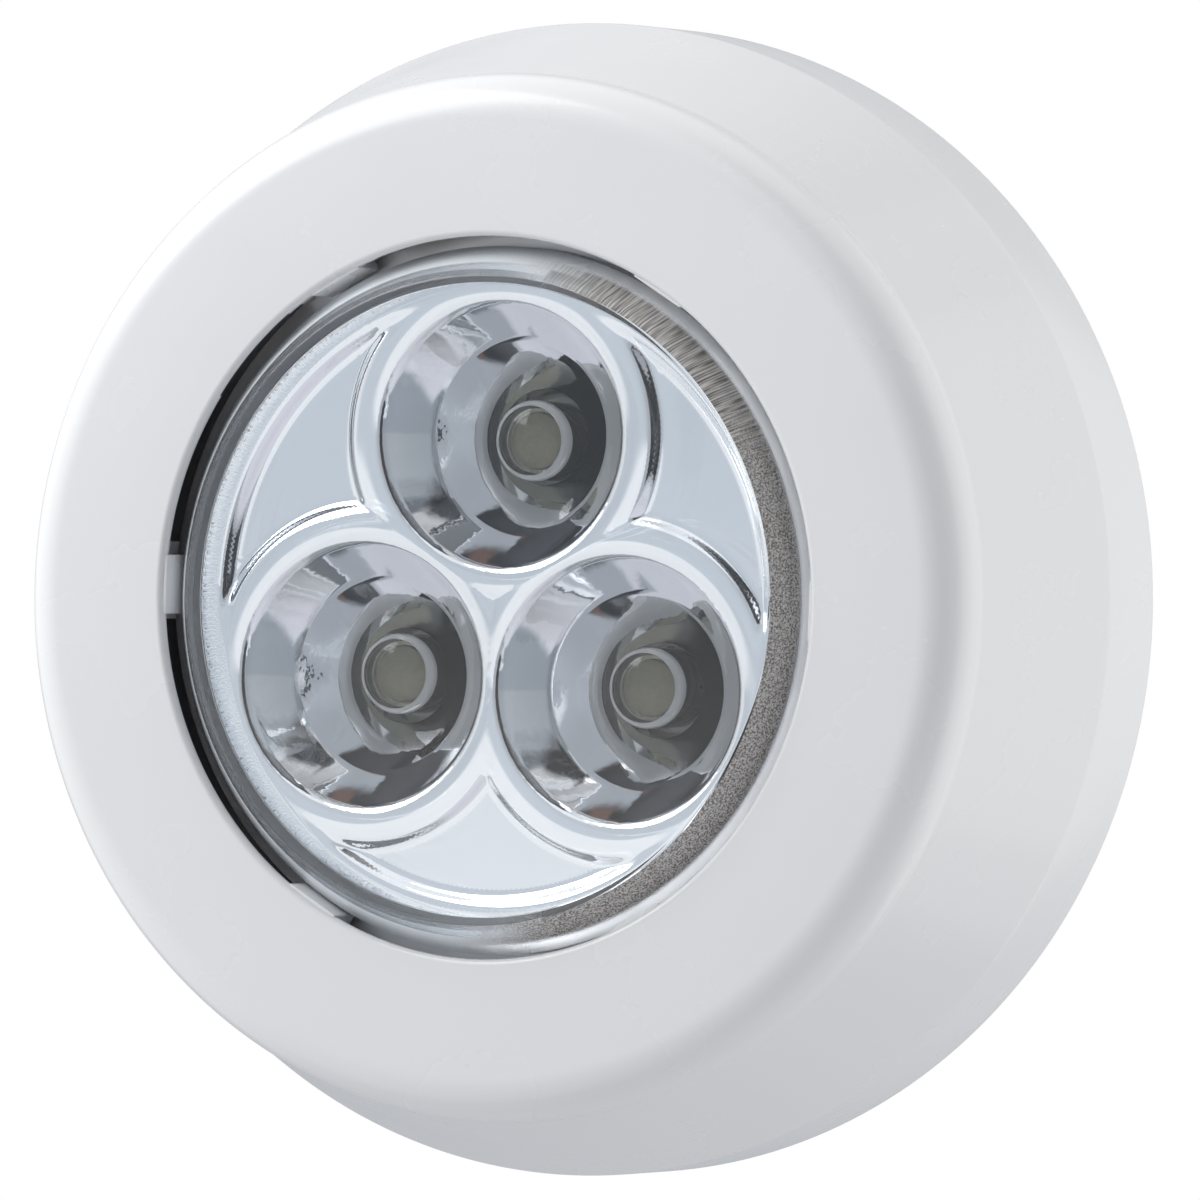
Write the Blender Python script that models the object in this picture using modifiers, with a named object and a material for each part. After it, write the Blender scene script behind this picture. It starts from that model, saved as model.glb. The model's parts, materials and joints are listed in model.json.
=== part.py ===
"""Battery mini light: a round push light that twists off a back cover stuck to the wall.

The light is modelled lying on its back, with z pointing out of the wall, and the empty
wall_frame tips it up. In the world its front faces -Y, +Z is up, and the origin is the
centre of the adhesive pad's wall face. All lengths are in metres.
"""
import math

import bmesh
import bpy
from mathutils import Matrix, Vector

OBJECT_NAME = "battery_mini_light"

# Gaps and overlaps shared by all pieces
FIT = 0.0003
TWIST_GAP = 0.0004
OVERRUN = 0.0005
WELD_DISTANCE = 0.00001

# Front housing: side wall, cone and front tier
SIDE_HEIGHT = 0.0066
CONE_NARROWING = 0.0035
TIER_HEIGHT = 0.0031
HOUSING_WALL = 0.0015
CONTACT_WALL_GAP = 0.00154
FACE_ROUNDING = 0.0028
STEP_FILLET = 0.0010
SHOULDER_ROUNDING = 0.0012
RIM_ROUNDING = 0.0003
BUTTON_GAP = 0.0004
HOLE_EDGE_ROUNDING = 0.0004
COLLAR_WALL = 0.0014
COLLAR_DEPTH = 0.0034
GUIDE_RIB_HEIGHT = 0.00015
GUIDE_RIB_WIDTH = 0.0036
GUIDE_RIB_ANGLE = math.radians(57.6)
GUIDE_RIB_COUNT = 6

# Adhesive pad and twist-off back cover
PAD_RADIUS = 0.0220
PAD_THICKNESS = 0.0010
COVER_THICKNESS = 0.0014
COVER_EDGE_ROUNDING = 0.0003
LUG_POST_WALL = 0.0011
LUG_TONGUE_REACH = 0.0010
LUG_TONGUE_THICKNESS = 0.0010
LUG_WIDTH = 0.0070
HOOK_THICKNESS = 0.0010
HOOK_WIDTH = 0.0080
HOOK_REACH = 0.0012

# Cells: three in a triangle round the middle, head to tail
CELL_COUNT = 3
CELL_RADIUS = 0.00515
CELL_LENGTH = 0.0444
CELL_NUB_LENGTH = 0.0010
CELL_NUB_RADIUS = 0.0019
CELL_EDGE_ROUNDING = 0.0004
CELL_NUB_ROUNDING = 0.0002
CELL_BOARD_GAP = 0.0005
CELL_CORNER_GAP = 0.0005
CELL_FLOOR_GAP = 0.0005
CELL_FIRST_ANGLE = math.radians(30)

# Contacts at the cells' ends
CONTACT_THICKNESS = 0.0004
CONTACT_HALF_WIDTH = 0.0026
CONTACT_HEIGHT = 0.0052
TAIL_WIDTH = 0.0016
TAIL_LENGTH = 0.0022
SPRING_WIRE = 0.0005
SPRING_LARGE_RADIUS = 0.0023
SPRING_SMALL_RADIUS = 0.0011
SPRING_LENGTH = 0.0020
SPRING_TURNS = 1.75

# Battery chassis
DECK_THICKNESS = 0.0012
DECK_FLANGE_GAP = 0.0007
FLOOR_THICKNESS = 0.0010
FLOOR_UNDER_CELL = 0.0011
LEG_THICKNESS = 0.0020
LEG_WIDTH = 0.0040
POST_TIP_HALF_WIDTH = 0.0006
CELL_WALL_THICKNESS = 0.0010
CELL_WALL_LENGTH = 0.0060
CELL_WALL_PLACE = 0.0110
CELL_WALL_REACH = 0.0010

# Screws
CHASSIS_SCREW_RADIUS = 0.0010
CHASSIS_SCREW_LENGTH = 0.0050
CHASSIS_SCREW_HEAD_RADIUS = 0.0019
CHASSIS_SCREW_HEAD_HEIGHT = 0.0013
CHASSIS_SCREW_CELL_GAP = 0.0015
BOSS_RADIUS = 0.0024
BOSS_HOLE_DEPTH = 0.0042
BOARD_SCREW_RADIUS = 0.0008
BOARD_SCREW_LENGTH = 0.0042
BOARD_SCREW_HEAD_RADIUS = 0.0016
BOARD_SCREW_HEAD_HEIGHT = 0.0010
BOARD_SCREW_PLACE = 0.0094
SCREW_HEAD_ROUNDING = 0.0004
SCREW_RECESS_DEPTH = 0.0006
SCREW_RECESS_WIDTH = 0.0005

# Push button: clear cap with its skirt, play and travel
PRESS_TRAVEL = 0.0012
BUTTON_DROP = 0.00015
LENS_RISE = 0.0008
LENS_SKIRT_WALL = 0.0013
LENS_TAPER = 0.00145
LENS_TAPER_WALL = 0.0008
LENS_FACE_ROUNDING = 0.0004
LENS_FACE_THICKNESS = 0.0013
LENS_FLANGE_REACH = 0.00135
LENS_FLANGE_THICKNESS = 0.0011
LENS_FLANGE_ROUNDING = 0.0002

# Reflector with three bowls, set down in the lens
PATTERN_TURN = math.radians(-3)
BOWL_COUNT = 3
BOWL_PITCH = 0.0099
BOWL_RIM_RADIUS = 0.0080
BOWL_LED_GAP = 0.00025
BOWL_WALL = 0.0008
BOWL_CURVE_SHARE = 0.60
BOWL_RINGS = 5
BOWL_RIM_ROUNDING = 0.0004
REFLECTOR_BORDER = 0.00175
REFLECTOR_SINK = 0.0020
REFLECTOR_THICKNESS = 0.0013
PANEL_DEPTH = 0.0004
PANEL_BORDER = 0.0012
PANEL_EDGE_BORDER = 0.0012
PANEL_HUB_RADIUS = 0.0030
REFLECTOR_POST_RADIUS = 0.0018

# Light-emitting diodes and their board
LED_INSET = 0.00025
LED_RADIUS = 0.0024
LED_FLANGE_REACH = 0.0003
LED_FLANGE_HEIGHT = 0.0005
LED_TIP_ROUNDING = 0.0012
LED_TIP_SINK = 0.0040
LED_HEIGHT = 0.0048
LED_LEAD_RADIUS = 0.00025
LED_LEAD_SPACING = 0.00254
LED_LEAD_OVERHANG = 0.0006
BOARD_MARGIN = 0.00025
BOARD_THICKNESS = 0.0012
RESISTOR_RADIUS = 0.0008
RESISTOR_WAIST_RADIUS = 0.0006
RESISTOR_LENGTH = 0.0034
RESISTOR_END_LENGTH = 0.0008
RESISTOR_LEG_STANDOFF = 0.0007
RESISTOR_LEG_RADIUS = 0.00025
RESISTOR_PLACE = (0.0078, -0.0006)

# Latching push switch on the chassis floor
SWITCH_SIZE = 0.0085
SWITCH_LID_THICKNESS = 0.0005
SWITCH_BASE_THICKNESS = 0.0006
SWITCH_CAVITY_RADIUS = 0.0027
SWITCH_EDGE_ROUNDING = 0.0003
PLUNGER_STEM_RADIUS = 0.0018
PLUNGER_FLANGE_RADIUS = 0.0023
PLUNGER_FLANGE_HEIGHT = 0.0006
PLUNGER_FLANGE_TOP_GAP = 0.0003
PLUNGER_BORE_RADIUS = 0.0012
PLUNGER_CROWN = 0.0005
PLUNGER_ROUNDING = 0.0003
SWITCH_SPRING_WIRE = 0.00025
SWITCH_SPRING_RADIUS = 0.0008
SWITCH_SPRING_TURNS = 4
SWITCH_TERMINAL_SIZE = (0.0008, 0.0012, 0.0004)

# Lead wires, with the shares of the way and of the rise at each bend up to the board
WIRE_DIAMETER = 0.0009
WIRE_STEP = 0.0016
LEAD_BOARD_MARGIN = 0.0016
LEAD_SWITCH_REACH = 0.0027
CELL_LEAD_RISE_SHARES = ((0, 0), (0.62, 0.21), (0.94, 0.66), (1, 1))
SWITCH_LEAD_RISE_SHARES = ((0, 0), (0.31, 0), (0.77, 0.28), (0.95, 0.64), (1, 1))

# How finely round things are cut
ROUND_STEPS = 48
SMALL_STEPS = 18
TINY_STEPS = 12
BOWL_STEPS = 26
COIL_POINTS = 9
ARC_STEP = math.radians(22.5)
SMALL_ARC_STEP = math.radians(45)
SMALL_ARC_RADIUS = 0.0010
ARC_STEP_SLACK_SHARE = 0.01
SHARP_ANGLE = math.radians(32)

# Radii from the middle outwards: bowls, reflector and button
BOWL_FLOOR_RADIUS = LED_RADIUS + LED_INSET + BOWL_LED_GAP
REFLECTOR_RADIUS = BOWL_PITCH + BOWL_RIM_RADIUS + REFLECTOR_BORDER
LENS_SKIRT_RADIUS = REFLECTOR_RADIUS + FIT + LENS_SKIRT_WALL
LENS_TAPER_RADIUS = LENS_SKIRT_RADIUS - LENS_TAPER
HOLE_RADIUS = LENS_SKIRT_RADIUS + BUTTON_GAP
LENS_FLANGE_RADIUS = HOLE_RADIUS + LENS_FLANGE_REACH

# Radii from the middle outwards: board, cells and contacts
LED_PITCH = BOWL_PITCH - LED_INSET
LED_FLANGE_RADIUS = LED_RADIUS + LED_FLANGE_REACH
BOARD_RADIUS = LED_PITCH + LED_FLANGE_RADIUS + BOARD_MARGIN
CELL_SIDE_ANGLE = math.pi / CELL_COUNT
CELL_TRIANGLE_SIDE = CELL_LENGTH * math.cos(CELL_SIDE_ANGLE) + CELL_CORNER_GAP
CELL_TRIANGLE_RADIUS = CELL_TRIANGLE_SIDE / (2 * math.sin(CELL_SIDE_ANGLE))
CELL_INNER_SIDE = max(BOARD_RADIUS + CELL_BOARD_GAP, CELL_TRIANGLE_RADIUS)
CELL_OFFSET = CELL_INNER_SIDE + CELL_RADIUS
CHASSIS_SCREW_PLACE = CELL_OFFSET + CELL_RADIUS + CHASSIS_SCREW_CELL_GAP + CHASSIS_SCREW_HEAD_RADIUS
FLOOR_RADIUS = CELL_INNER_SIDE + FLOOR_UNDER_CELL
CELL_SHIFT = (SPRING_LENGTH + FIT) / 2
CELL_TAIL_END = -CELL_LENGTH / 2
CELL_HEAD_END = CELL_LENGTH / 2
PLATE_AT_HEAD = CELL_SHIFT + CELL_HEAD_END + FIT + CONTACT_THICKNESS / 2
PLATE_AT_TAIL = -PLATE_AT_HEAD
CONTACT_OUTER_SIDE = CELL_OFFSET + CONTACT_HALF_WIDTH + CONTACT_THICKNESS / 2
CONTACT_OUTER_END = PLATE_AT_HEAD + CONTACT_THICKNESS / 2

# Radii of the housing and its cover, which go round the contacts
INNER_RADIUS = math.hypot(CONTACT_OUTER_SIDE, CONTACT_OUTER_END) + CONTACT_WALL_GAP
BASE_RADIUS = INNER_RADIUS + HOUSING_WALL
STEP_RADIUS = BASE_RADIUS - CONE_NARROWING
COVER_RADIUS = INNER_RADIUS - TWIST_GAP
HOOK_INNER_RADIUS = INNER_RADIUS - HOOK_REACH
LUG_POST_RADIUS = HOOK_INNER_RADIUS - FIT

# Levels above the housing's back rim, from the back forwards
RIM_LEVEL = PAD_THICKNESS + FIT
HOOK_LEVEL = COVER_THICKNESS + FIT
TONGUE_LEVEL = HOOK_LEVEL + HOOK_THICKNESS + FIT
TONGUE_TOP = TONGUE_LEVEL + LUG_TONGUE_THICKNESS
POST_BOTTOM = TONGUE_TOP + 2 * FIT
CELL_LEVEL = COVER_THICKNESS + CELL_FLOOR_GAP + CELL_RADIUS
DECK_LEVEL = CELL_LEVEL + CELL_RADIUS + FIT
DECK_TOP = DECK_LEVEL + DECK_THICKNESS
FLOOR_LEVEL = COVER_THICKNESS + TWIST_GAP
FLOOR_TOP = FLOOR_LEVEL + FLOOR_THICKNESS
LENS_FLANGE_BOTTOM = DECK_TOP + DECK_FLANGE_GAP + PRESS_TRAVEL
LENS_FLANGE_TOP = LENS_FLANGE_BOTTOM + LENS_FLANGE_THICKNESS
COLLAR_BOTTOM = LENS_FLANGE_TOP + FIT
FACE_HEIGHT = COLLAR_BOTTOM + COLLAR_DEPTH
INNER_FACE_LEVEL = FACE_HEIGHT - HOUSING_WALL
STEP_HEIGHT = FACE_HEIGHT - TIER_HEIGHT
CONE_ANGLE = math.atan2(CONE_NARROWING, STEP_HEIGHT - SIDE_HEIGHT)
REFLECTOR_RIM = FACE_HEIGHT - REFLECTOR_SINK
REFLECTOR_BACK = REFLECTOR_RIM - REFLECTOR_THICKNESS
PANEL_LEVEL = REFLECTOR_RIM - PANEL_DEPTH
BOWL_DEPTH = LED_TIP_SINK + LED_HEIGHT - LED_FLANGE_HEIGHT - FIT
LED_TIP = REFLECTOR_RIM - LED_TIP_SINK
BOARD_TOP = LED_TIP - LED_HEIGHT - FIT
BOARD_BOTTOM = BOARD_TOP - BOARD_THICKNESS
SWITCH_BOTTOM = FLOOR_TOP + FIT
CAVITY_BOTTOM = SWITCH_BOTTOM + SWITCH_BASE_THICKNESS
FLANGE_BOTTOM = CAVITY_BOTTOM + FIT + PRESS_TRAVEL
FLANGE_TOP = FLANGE_BOTTOM + PLUNGER_FLANGE_HEIGHT
CAVITY_TOP = FLANGE_TOP + PLUNGER_FLANGE_TOP_GAP
SWITCH_TOP = CAVITY_TOP + SWITCH_LID_THICKNESS
PLUNGER_TOP = BOARD_BOTTOM - FIT


def cell_angle(index):
    return CELL_FIRST_ANGLE + index * math.tau / CELL_COUNT


def bowl_angle(index):
    return math.pi / 2 + PATTERN_TURN + index * math.tau / BOWL_COUNT


def bowl_radius(share):
    """A bowl's inner radius at a share of its depth, a parabola's flank."""
    return BOWL_FLOOR_RADIUS + (BOWL_RIM_RADIUS - BOWL_FLOOR_RADIUS) * (1 - share) ** BOWL_CURVE_SHARE


def around(radius, angle, sideways=0.0):
    """A point at a radius from the middle, stepped sideways against the clock."""
    ahead = Vector((math.cos(angle), math.sin(angle)))
    across = Vector((-math.sin(angle), math.cos(angle)))
    return ahead * radius + across * sideways


def arc_corner(before, corner, after, radius):
    """Points of a round corner, its radius limited by the shorter side."""
    back = before - corner
    forth = after - corner
    half = back.angle(forth) / 2
    reach = min(radius / math.tan(half), back.length, forth.length)
    radius = reach * math.tan(half)
    back.normalize()
    forth.normalize()
    centre = corner + (back + forth).normalized() * (radius / math.sin(half))
    start = corner + back * reach - centre
    end = corner + forth * reach - centre
    sweep = math.atan2(start.x * end.y - start.y * end.x, start.dot(end))
    arc_step = SMALL_ARC_STEP if radius < SMALL_ARC_RADIUS else ARC_STEP
    count = max(1, math.ceil(abs(sweep) / arc_step - ARC_STEP_SLACK_SHARE))
    points = []
    for step in range(count + 1):
        turn = sweep * step / count
        cos_turn, sin_turn = math.cos(turn), math.sin(turn)
        spoke = Vector((start.x * cos_turn - start.y * sin_turn, start.x * sin_turn + start.y * cos_turn))
        points.append(centre + spoke)
    return points


def rounded(corners):
    """An outline of (x, y) or (x, y, fillet radius) corners as a list of points."""
    places = [Vector(corner[:2]) for corner in corners]
    outline = []
    for index, corner in enumerate(corners):
        before = places[index - 1]
        after = places[(index + 1) % len(places)]
        if len(corner) == 3 and corner[2] > 0:
            outline.extend(arc_corner(before, places[index], after, corner[2]))
        else:
            outline.append(places[index])
    distinct = [point for i, point in enumerate(outline) if (point - outline[i - 1]).length > WELD_DISTANCE]
    return distinct


class Bench:
    """The collections and the empties that carry the pieces."""

    def __init__(self):
        self.parts = bpy.data.collections.new(OBJECT_NAME)
        self.tools = bpy.data.collections.new("cutters")
        bpy.context.scene.collection.children.link(self.parts)
        bpy.context.scene.collection.children.link(self.tools)
        self.wall = self.empty("wall_frame", None, (0, 0, 0))
        self.wall.rotation_euler = (math.pi / 2, 0, 0)
        self.cover = self.empty("cover_frame", self.wall, (0, 0, RIM_LEVEL))
        self.lamp = self.empty("lamp_twist_axis", self.wall, (0, 0, RIM_LEVEL))
        self.button = self.empty("button_press_axis", self.lamp, (0, -BUTTON_DROP, 0))
        self.plunger = self.empty("plunger_press_axis", self.lamp, (0, 0, 0))

    def empty(self, name, parent, location):
        empty = bpy.data.objects.new(name, None)
        empty.parent = parent
        empty.location = location
        empty.empty_display_size = BASE_RADIUS
        self.parts.objects.link(empty)
        return empty

    def part(self, name, mesh, parent, material, location=(0, 0, 0), turn=(0, 0, 0)):
        piece = bpy.data.objects.new(name, mesh)
        piece.parent = parent
        piece.location = location
        piece.rotation_euler = turn
        mesh.materials.clear()
        mesh.materials.append(material)
        self.parts.objects.link(piece)
        return piece

    def tool(self, name, mesh, parent, location=(0, 0, 0), turn=(0, 0, 0)):
        tool = bpy.data.objects.new(name, mesh)
        tool.parent = parent
        tool.location = location
        tool.rotation_euler = turn
        tool.hide_render = True
        tool.display_type = "WIRE"
        self.tools.objects.link(tool)
        return tool


def finish(name, colour, roughness, metallic=0.0, transmission=0.0):
    """A Principled BSDF material."""
    material = bpy.data.materials.new(name)
    material.use_nodes = True
    shader = material.node_tree.nodes["Principled BSDF"]
    shader.inputs["Base Color"].default_value = (*colour, 1.0)
    shader.inputs["Roughness"].default_value = roughness
    shader.inputs["Metallic"].default_value = metallic
    shader.inputs["Transmission Weight"].default_value = transmission
    material.diffuse_color = (*colour, 1.0)
    return material


def make_finishes():
    return {
        "white_plastic": finish("white_plastic", (0.88, 0.88, 0.87), 0.18),
        "clear_plastic": finish("clear_plastic", (0.95, 0.96, 0.97), 0.03, transmission=1.0),
        "mirror_coat": finish("mirror_coat", (0.86, 0.90, 0.95), 0.08, metallic=1.0),
        "led_resin": finish("led_resin", (0.90, 0.90, 0.80), 0.05, transmission=0.8),
        "board_laminate": finish("board_laminate", (0.80, 0.80, 0.74), 0.45),
        "zinc_steel": finish("zinc_steel", (0.72, 0.73, 0.75), 0.30, metallic=1.0),
        "nickel_strip": finish("nickel_strip", (0.78, 0.77, 0.73), 0.25, metallic=1.0),
        "cell_sleeve": finish("cell_sleeve", (0.10, 0.11, 0.13), 0.30),
        "grey_plastic": finish("grey_plastic", (0.62, 0.63, 0.64), 0.40),
        "black_plastic": finish("black_plastic", (0.03, 0.03, 0.03), 0.40),
        "white_foam": finish("white_foam", (0.83, 0.82, 0.78), 0.90),
        "resistor_body": finish("resistor_body", (0.66, 0.52, 0.34), 0.45),
        "red_sleeve": finish("red_sleeve", (0.60, 0.03, 0.03), 0.40),
        "black_sleeve": finish("black_sleeve", (0.02, 0.02, 0.02), 0.40),
        "yellow_sleeve": finish("yellow_sleeve", (0.75, 0.60, 0.05), 0.40),
    }


def turn_profile(target, steps=ROUND_STEPS):
    """Spins a piece's outline round its own z axis."""
    spin = target.modifiers.new("spin", "SCREW")
    spin.axis = "Z"
    spin.steps = steps
    spin.render_steps = steps
    spin.use_merge_vertices = True
    spin.merge_threshold = WELD_DISTANCE
    spin.use_smooth_shade = True
    return target


def outline_mesh(name, corners):
    """A turned piece's outline in the x-z plane, open where it runs along the axis."""
    points = rounded(corners)
    mesh = bpy.data.meshes.new(name)
    links = []
    for index, point in enumerate(points):
        following = (index + 1) % len(points)
        if point.x > 0 or points[following].x > 0:
            links.append((index, following))
    mesh.from_pydata([(point.x, 0, point.y) for point in points], links, [])
    return mesh


def drum_mesh(name, radius, height, steps=SMALL_STEPS):
    """A cylinder that stands on z = 0."""
    mesh = bpy.data.meshes.new(name)
    shape = bmesh.new()
    bmesh.ops.create_cone(
        shape, cap_ends=True, segments=steps, radius1=radius, radius2=radius, depth=height)
    bmesh.ops.translate(shape, verts=shape.verts, vec=(0, 0, height / 2))
    shape.to_mesh(mesh)
    shape.free()
    return mesh


def block_mesh(name, size):
    """A box that stands on z = 0."""
    mesh = bpy.data.meshes.new(name)
    shape = bmesh.new()
    bmesh.ops.create_cube(shape, size=1)
    bmesh.ops.scale(shape, verts=shape.verts, vec=size)
    bmesh.ops.translate(shape, verts=shape.verts, vec=(0, 0, size[2] / 2))
    shape.to_mesh(mesh)
    shape.free()
    return mesh


def mesh_from_curve(name, curve):
    """A closed mesh of a curve, with its caps welded on."""
    guide = bpy.data.objects.new(name, curve)
    bpy.context.scene.collection.objects.link(guide)
    bpy.context.view_layer.update()
    evaluated = guide.evaluated_get(bpy.context.evaluated_depsgraph_get())
    mesh = bpy.data.meshes.new_from_object(evaluated)
    bpy.data.objects.remove(guide)
    bpy.data.curves.remove(curve)
    shape = bmesh.new()
    shape.from_mesh(mesh)
    bmesh.ops.remove_doubles(shape, verts=shape.verts, dist=WELD_DISTANCE)
    bmesh.ops.recalc_face_normals(shape, faces=shape.faces)
    shape.to_mesh(mesh)
    shape.free()
    mesh.name = name
    return mesh


def plate_mesh(name, corners, thickness):
    """A flat outline with a thickness, its middle on z = 0."""
    curve = bpy.data.curves.new(name, "CURVE")
    curve.dimensions = "2D"
    curve.fill_mode = "BOTH"
    curve.extrude = thickness / 2
    points = rounded(corners)
    spline = curve.splines.new("POLY")
    spline.points.add(len(points) - 1)
    for spline_point, point in zip(spline.points, points):
        spline_point.co = (point.x, point.y, 0, 1)
    spline.use_cyclic_u = True
    return mesh_from_curve(name, curve)


def tube_mesh(name, points, diameter, resolution):
    """A round wire along a row of points."""
    curve = bpy.data.curves.new(name, "CURVE")
    curve.dimensions = "3D"
    curve.bevel_depth = diameter / 2
    curve.bevel_resolution = resolution
    curve.use_fill_caps = True
    spline = curve.splines.new("POLY")
    spline.points.add(len(points) - 1)
    for spline_point, point in zip(spline.points, points):
        spline_point.co = (*point, 1)
    return mesh_from_curve(name, curve)


def strip_mesh(name, route, height):
    """An upright strip along a route of (x, y) places, its middle on z = 0."""
    mesh = bpy.data.meshes.new(name)
    shape = bmesh.new()
    lower = [shape.verts.new((place[0], place[1], -height / 2)) for place in route]
    edges = [shape.edges.new(pair) for pair in zip(lower, lower[1:])]
    grown = bmesh.ops.extrude_edge_only(shape, edges=edges)
    upper = [item for item in grown["geom"] if isinstance(item, bmesh.types.BMVert)]
    bmesh.ops.translate(shape, verts=upper, vec=(0, 0, height))
    shape.to_mesh(mesh)
    shape.free()
    return mesh


def coil_points(low, high, low_radius, high_radius, turns):
    """Points of a coil round the z axis."""
    count = round(turns * COIL_POINTS)
    points = []
    for index in range(count + 1):
        share = index / count
        angle = math.tau * turns * share
        radius = low_radius + (high_radius - low_radius) * share
        points.append((radius * math.cos(angle), radius * math.sin(angle), low + (high - low) * share))
    return points


def least_self_gap(points, wire):
    """The smallest gap between two turns of a coil, measured on its points."""
    skip = COIL_POINTS // 2
    gaps = []
    for index, point in enumerate(points):
        for other in points[index + skip:]:
            gaps.append((Vector(point) - Vector(other)).length - wire)
    return min(gaps)


def smooth_route(places):
    """Points a wire step apart on a smooth curve through a wire's own places."""
    knots = [Vector(place) for place in places]
    knots = [2 * knots[0] - knots[1]] + knots + [2 * knots[-1] - knots[-2]]
    points = []
    for before, start, end, after in zip(knots, knots[1:], knots[2:], knots[3:]):
        count = max(1, round((end - start).length / WIRE_STEP))
        for index in range(count):
            share = index / count
            pull = (end - before) * share
            bend = (2 * before - 5 * start + 4 * end - after) * share ** 2
            twist = (3 * start - before - 3 * end + after) * share ** 3
            points.append(start + (pull + bend + twist) / 2)
    points.append(knots[-2])
    return points


def combine(target, tool, operation):
    modifier = target.modifiers.new(tool.name, "BOOLEAN")
    modifier.operation = operation
    modifier.solver = "EXACT"
    modifier.object = tool


def inner_shape_corners(gap):
    """The ends of the cone's inner side with a gap kept to it, the front one first."""
    wall = HOUSING_WALL + gap
    lower = wall * math.tan(CONE_ANGLE / 2)
    return [(STEP_RADIUS - wall, STEP_HEIGHT - lower), (BASE_RADIUS - wall, SIDE_HEIGHT - lower)]


def build_housing(bench, finishes):
    """White shell: side wall, cone, front tier, and the collar that guides the button."""
    inner_step, inner_knee = inner_shape_corners(0)
    corners = [
        (HOLE_RADIUS, FACE_HEIGHT, HOLE_EDGE_ROUNDING),
        (STEP_RADIUS, FACE_HEIGHT, FACE_ROUNDING),
        (STEP_RADIUS, STEP_HEIGHT, STEP_FILLET),
        (BASE_RADIUS, SIDE_HEIGHT, SHOULDER_ROUNDING),
        (BASE_RADIUS, 0, RIM_ROUNDING),
        (INNER_RADIUS, 0),
        inner_knee,
        inner_step,
        (inner_step[0], INNER_FACE_LEVEL, FACE_ROUNDING - HOUSING_WALL),
        (HOLE_RADIUS + COLLAR_WALL, INNER_FACE_LEVEL),
        (HOLE_RADIUS + COLLAR_WALL, COLLAR_BOTTOM),
        (HOLE_RADIUS, COLLAR_BOTTOM),
    ]
    housing = bench.part(
        "front_housing", outline_mesh("front_housing", corners), bench.lamp, finishes["white_plastic"])
    turn_profile(housing)
    rib_length = COLLAR_WALL / 2 + GUIDE_RIB_HEIGHT
    rib_height = COLLAR_DEPTH - HOLE_EDGE_ROUNDING - COLLAR_WALL / 2
    for index in range(GUIDE_RIB_COUNT):
        angle = GUIDE_RIB_ANGLE + index * math.tau / GUIDE_RIB_COUNT
        place = around(HOLE_RADIUS - GUIDE_RIB_HEIGHT + rib_length / 2, angle)
        rib = bench.tool(
            "guide_rib_%d" % index,
            block_mesh("guide_rib", (rib_length, GUIDE_RIB_WIDTH, rib_height)),
            bench.lamp, (*place, COLLAR_BOTTOM + COLLAR_WALL / 4), (0, 0, angle))
        combine(housing, rib, "UNION")
    for index in range(CELL_COUNT):
        angle = cell_angle(index)
        hook_length = HOOK_REACH + HOUSING_WALL / 2
        place = around(HOOK_INNER_RADIUS + hook_length / 2, angle)
        hook = bench.tool(
            "twist_hook_%d" % index,
            block_mesh("twist_hook", (hook_length, HOOK_WIDTH, HOOK_THICKNESS)),
            bench.lamp, (*place, HOOK_LEVEL), (0, 0, angle))
        combine(housing, hook, "UNION")
        place = around(CHASSIS_SCREW_PLACE, angle)
        boss_height = INNER_FACE_LEVEL + HOUSING_WALL / 2 - DECK_TOP - FIT
        boss = bench.tool(
            "screw_boss_%d" % index, drum_mesh("screw_boss", BOSS_RADIUS, boss_height),
            bench.lamp, (*place, DECK_TOP + FIT))
        combine(housing, boss, "UNION")
        pilot = bench.tool(
            "screw_pilot_%d" % index,
            drum_mesh("screw_pilot", CHASSIS_SCREW_RADIUS + FIT, BOSS_HOLE_DEPTH + OVERRUN, TINY_STEPS),
            bench.lamp, (*place, DECK_TOP + FIT - OVERRUN))
        combine(housing, pilot, "DIFFERENCE")
    return housing


def build_cover(bench, finishes):
    """Round back cover with three hooked lugs, and the pad that sticks it to the wall."""
    corners = [
        (0, COVER_THICKNESS),
        (COVER_RADIUS, COVER_THICKNESS, COVER_EDGE_ROUNDING),
        (COVER_RADIUS, 0, COVER_EDGE_ROUNDING),
        (0, 0),
    ]
    cover = bench.part(
        "back_cover", outline_mesh("back_cover", corners), bench.cover, finishes["white_plastic"])
    turn_profile(cover)
    lug_corners = [
        (LUG_POST_RADIUS - LUG_POST_WALL, COVER_THICKNESS / 2),
        (LUG_POST_RADIUS - LUG_POST_WALL, TONGUE_TOP),
        (LUG_POST_RADIUS + LUG_TONGUE_REACH, TONGUE_TOP),
        (LUG_POST_RADIUS + LUG_TONGUE_REACH, TONGUE_LEVEL),
        (LUG_POST_RADIUS, TONGUE_LEVEL),
        (LUG_POST_RADIUS, COVER_THICKNESS / 2),
    ]
    for index in range(CELL_COUNT):
        lug = bench.tool(
            "twist_lug_%d" % index, plate_mesh("twist_lug", lug_corners, LUG_WIDTH),
            bench.cover, turn=(math.pi / 2, 0, cell_angle(index)))
        combine(cover, lug, "UNION")
    pad_corners = [(0, PAD_THICKNESS), (PAD_RADIUS, PAD_THICKNESS), (PAD_RADIUS, 0), (0, 0)]
    pad = bench.part(
        "adhesive_pad", outline_mesh("adhesive_pad", pad_corners), bench.wall, finishes["white_foam"])
    turn_profile(pad)
    return cover


def deck_opening_radius():
    """The deck's opening, clear of the bowls when the button is pressed right in."""
    share = (REFLECTOR_RIM - DECK_TOP - PRESS_TRAVEL) / BOWL_DEPTH
    return BOWL_PITCH + bowl_radius(share) + BOWL_WALL + BUTTON_DROP + FIT


def leg_places():
    """The inner and outer radius of the chassis's legs."""
    inner = deck_opening_radius() + 2 * FIT
    return inner, inner + LEG_THICKNESS


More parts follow.
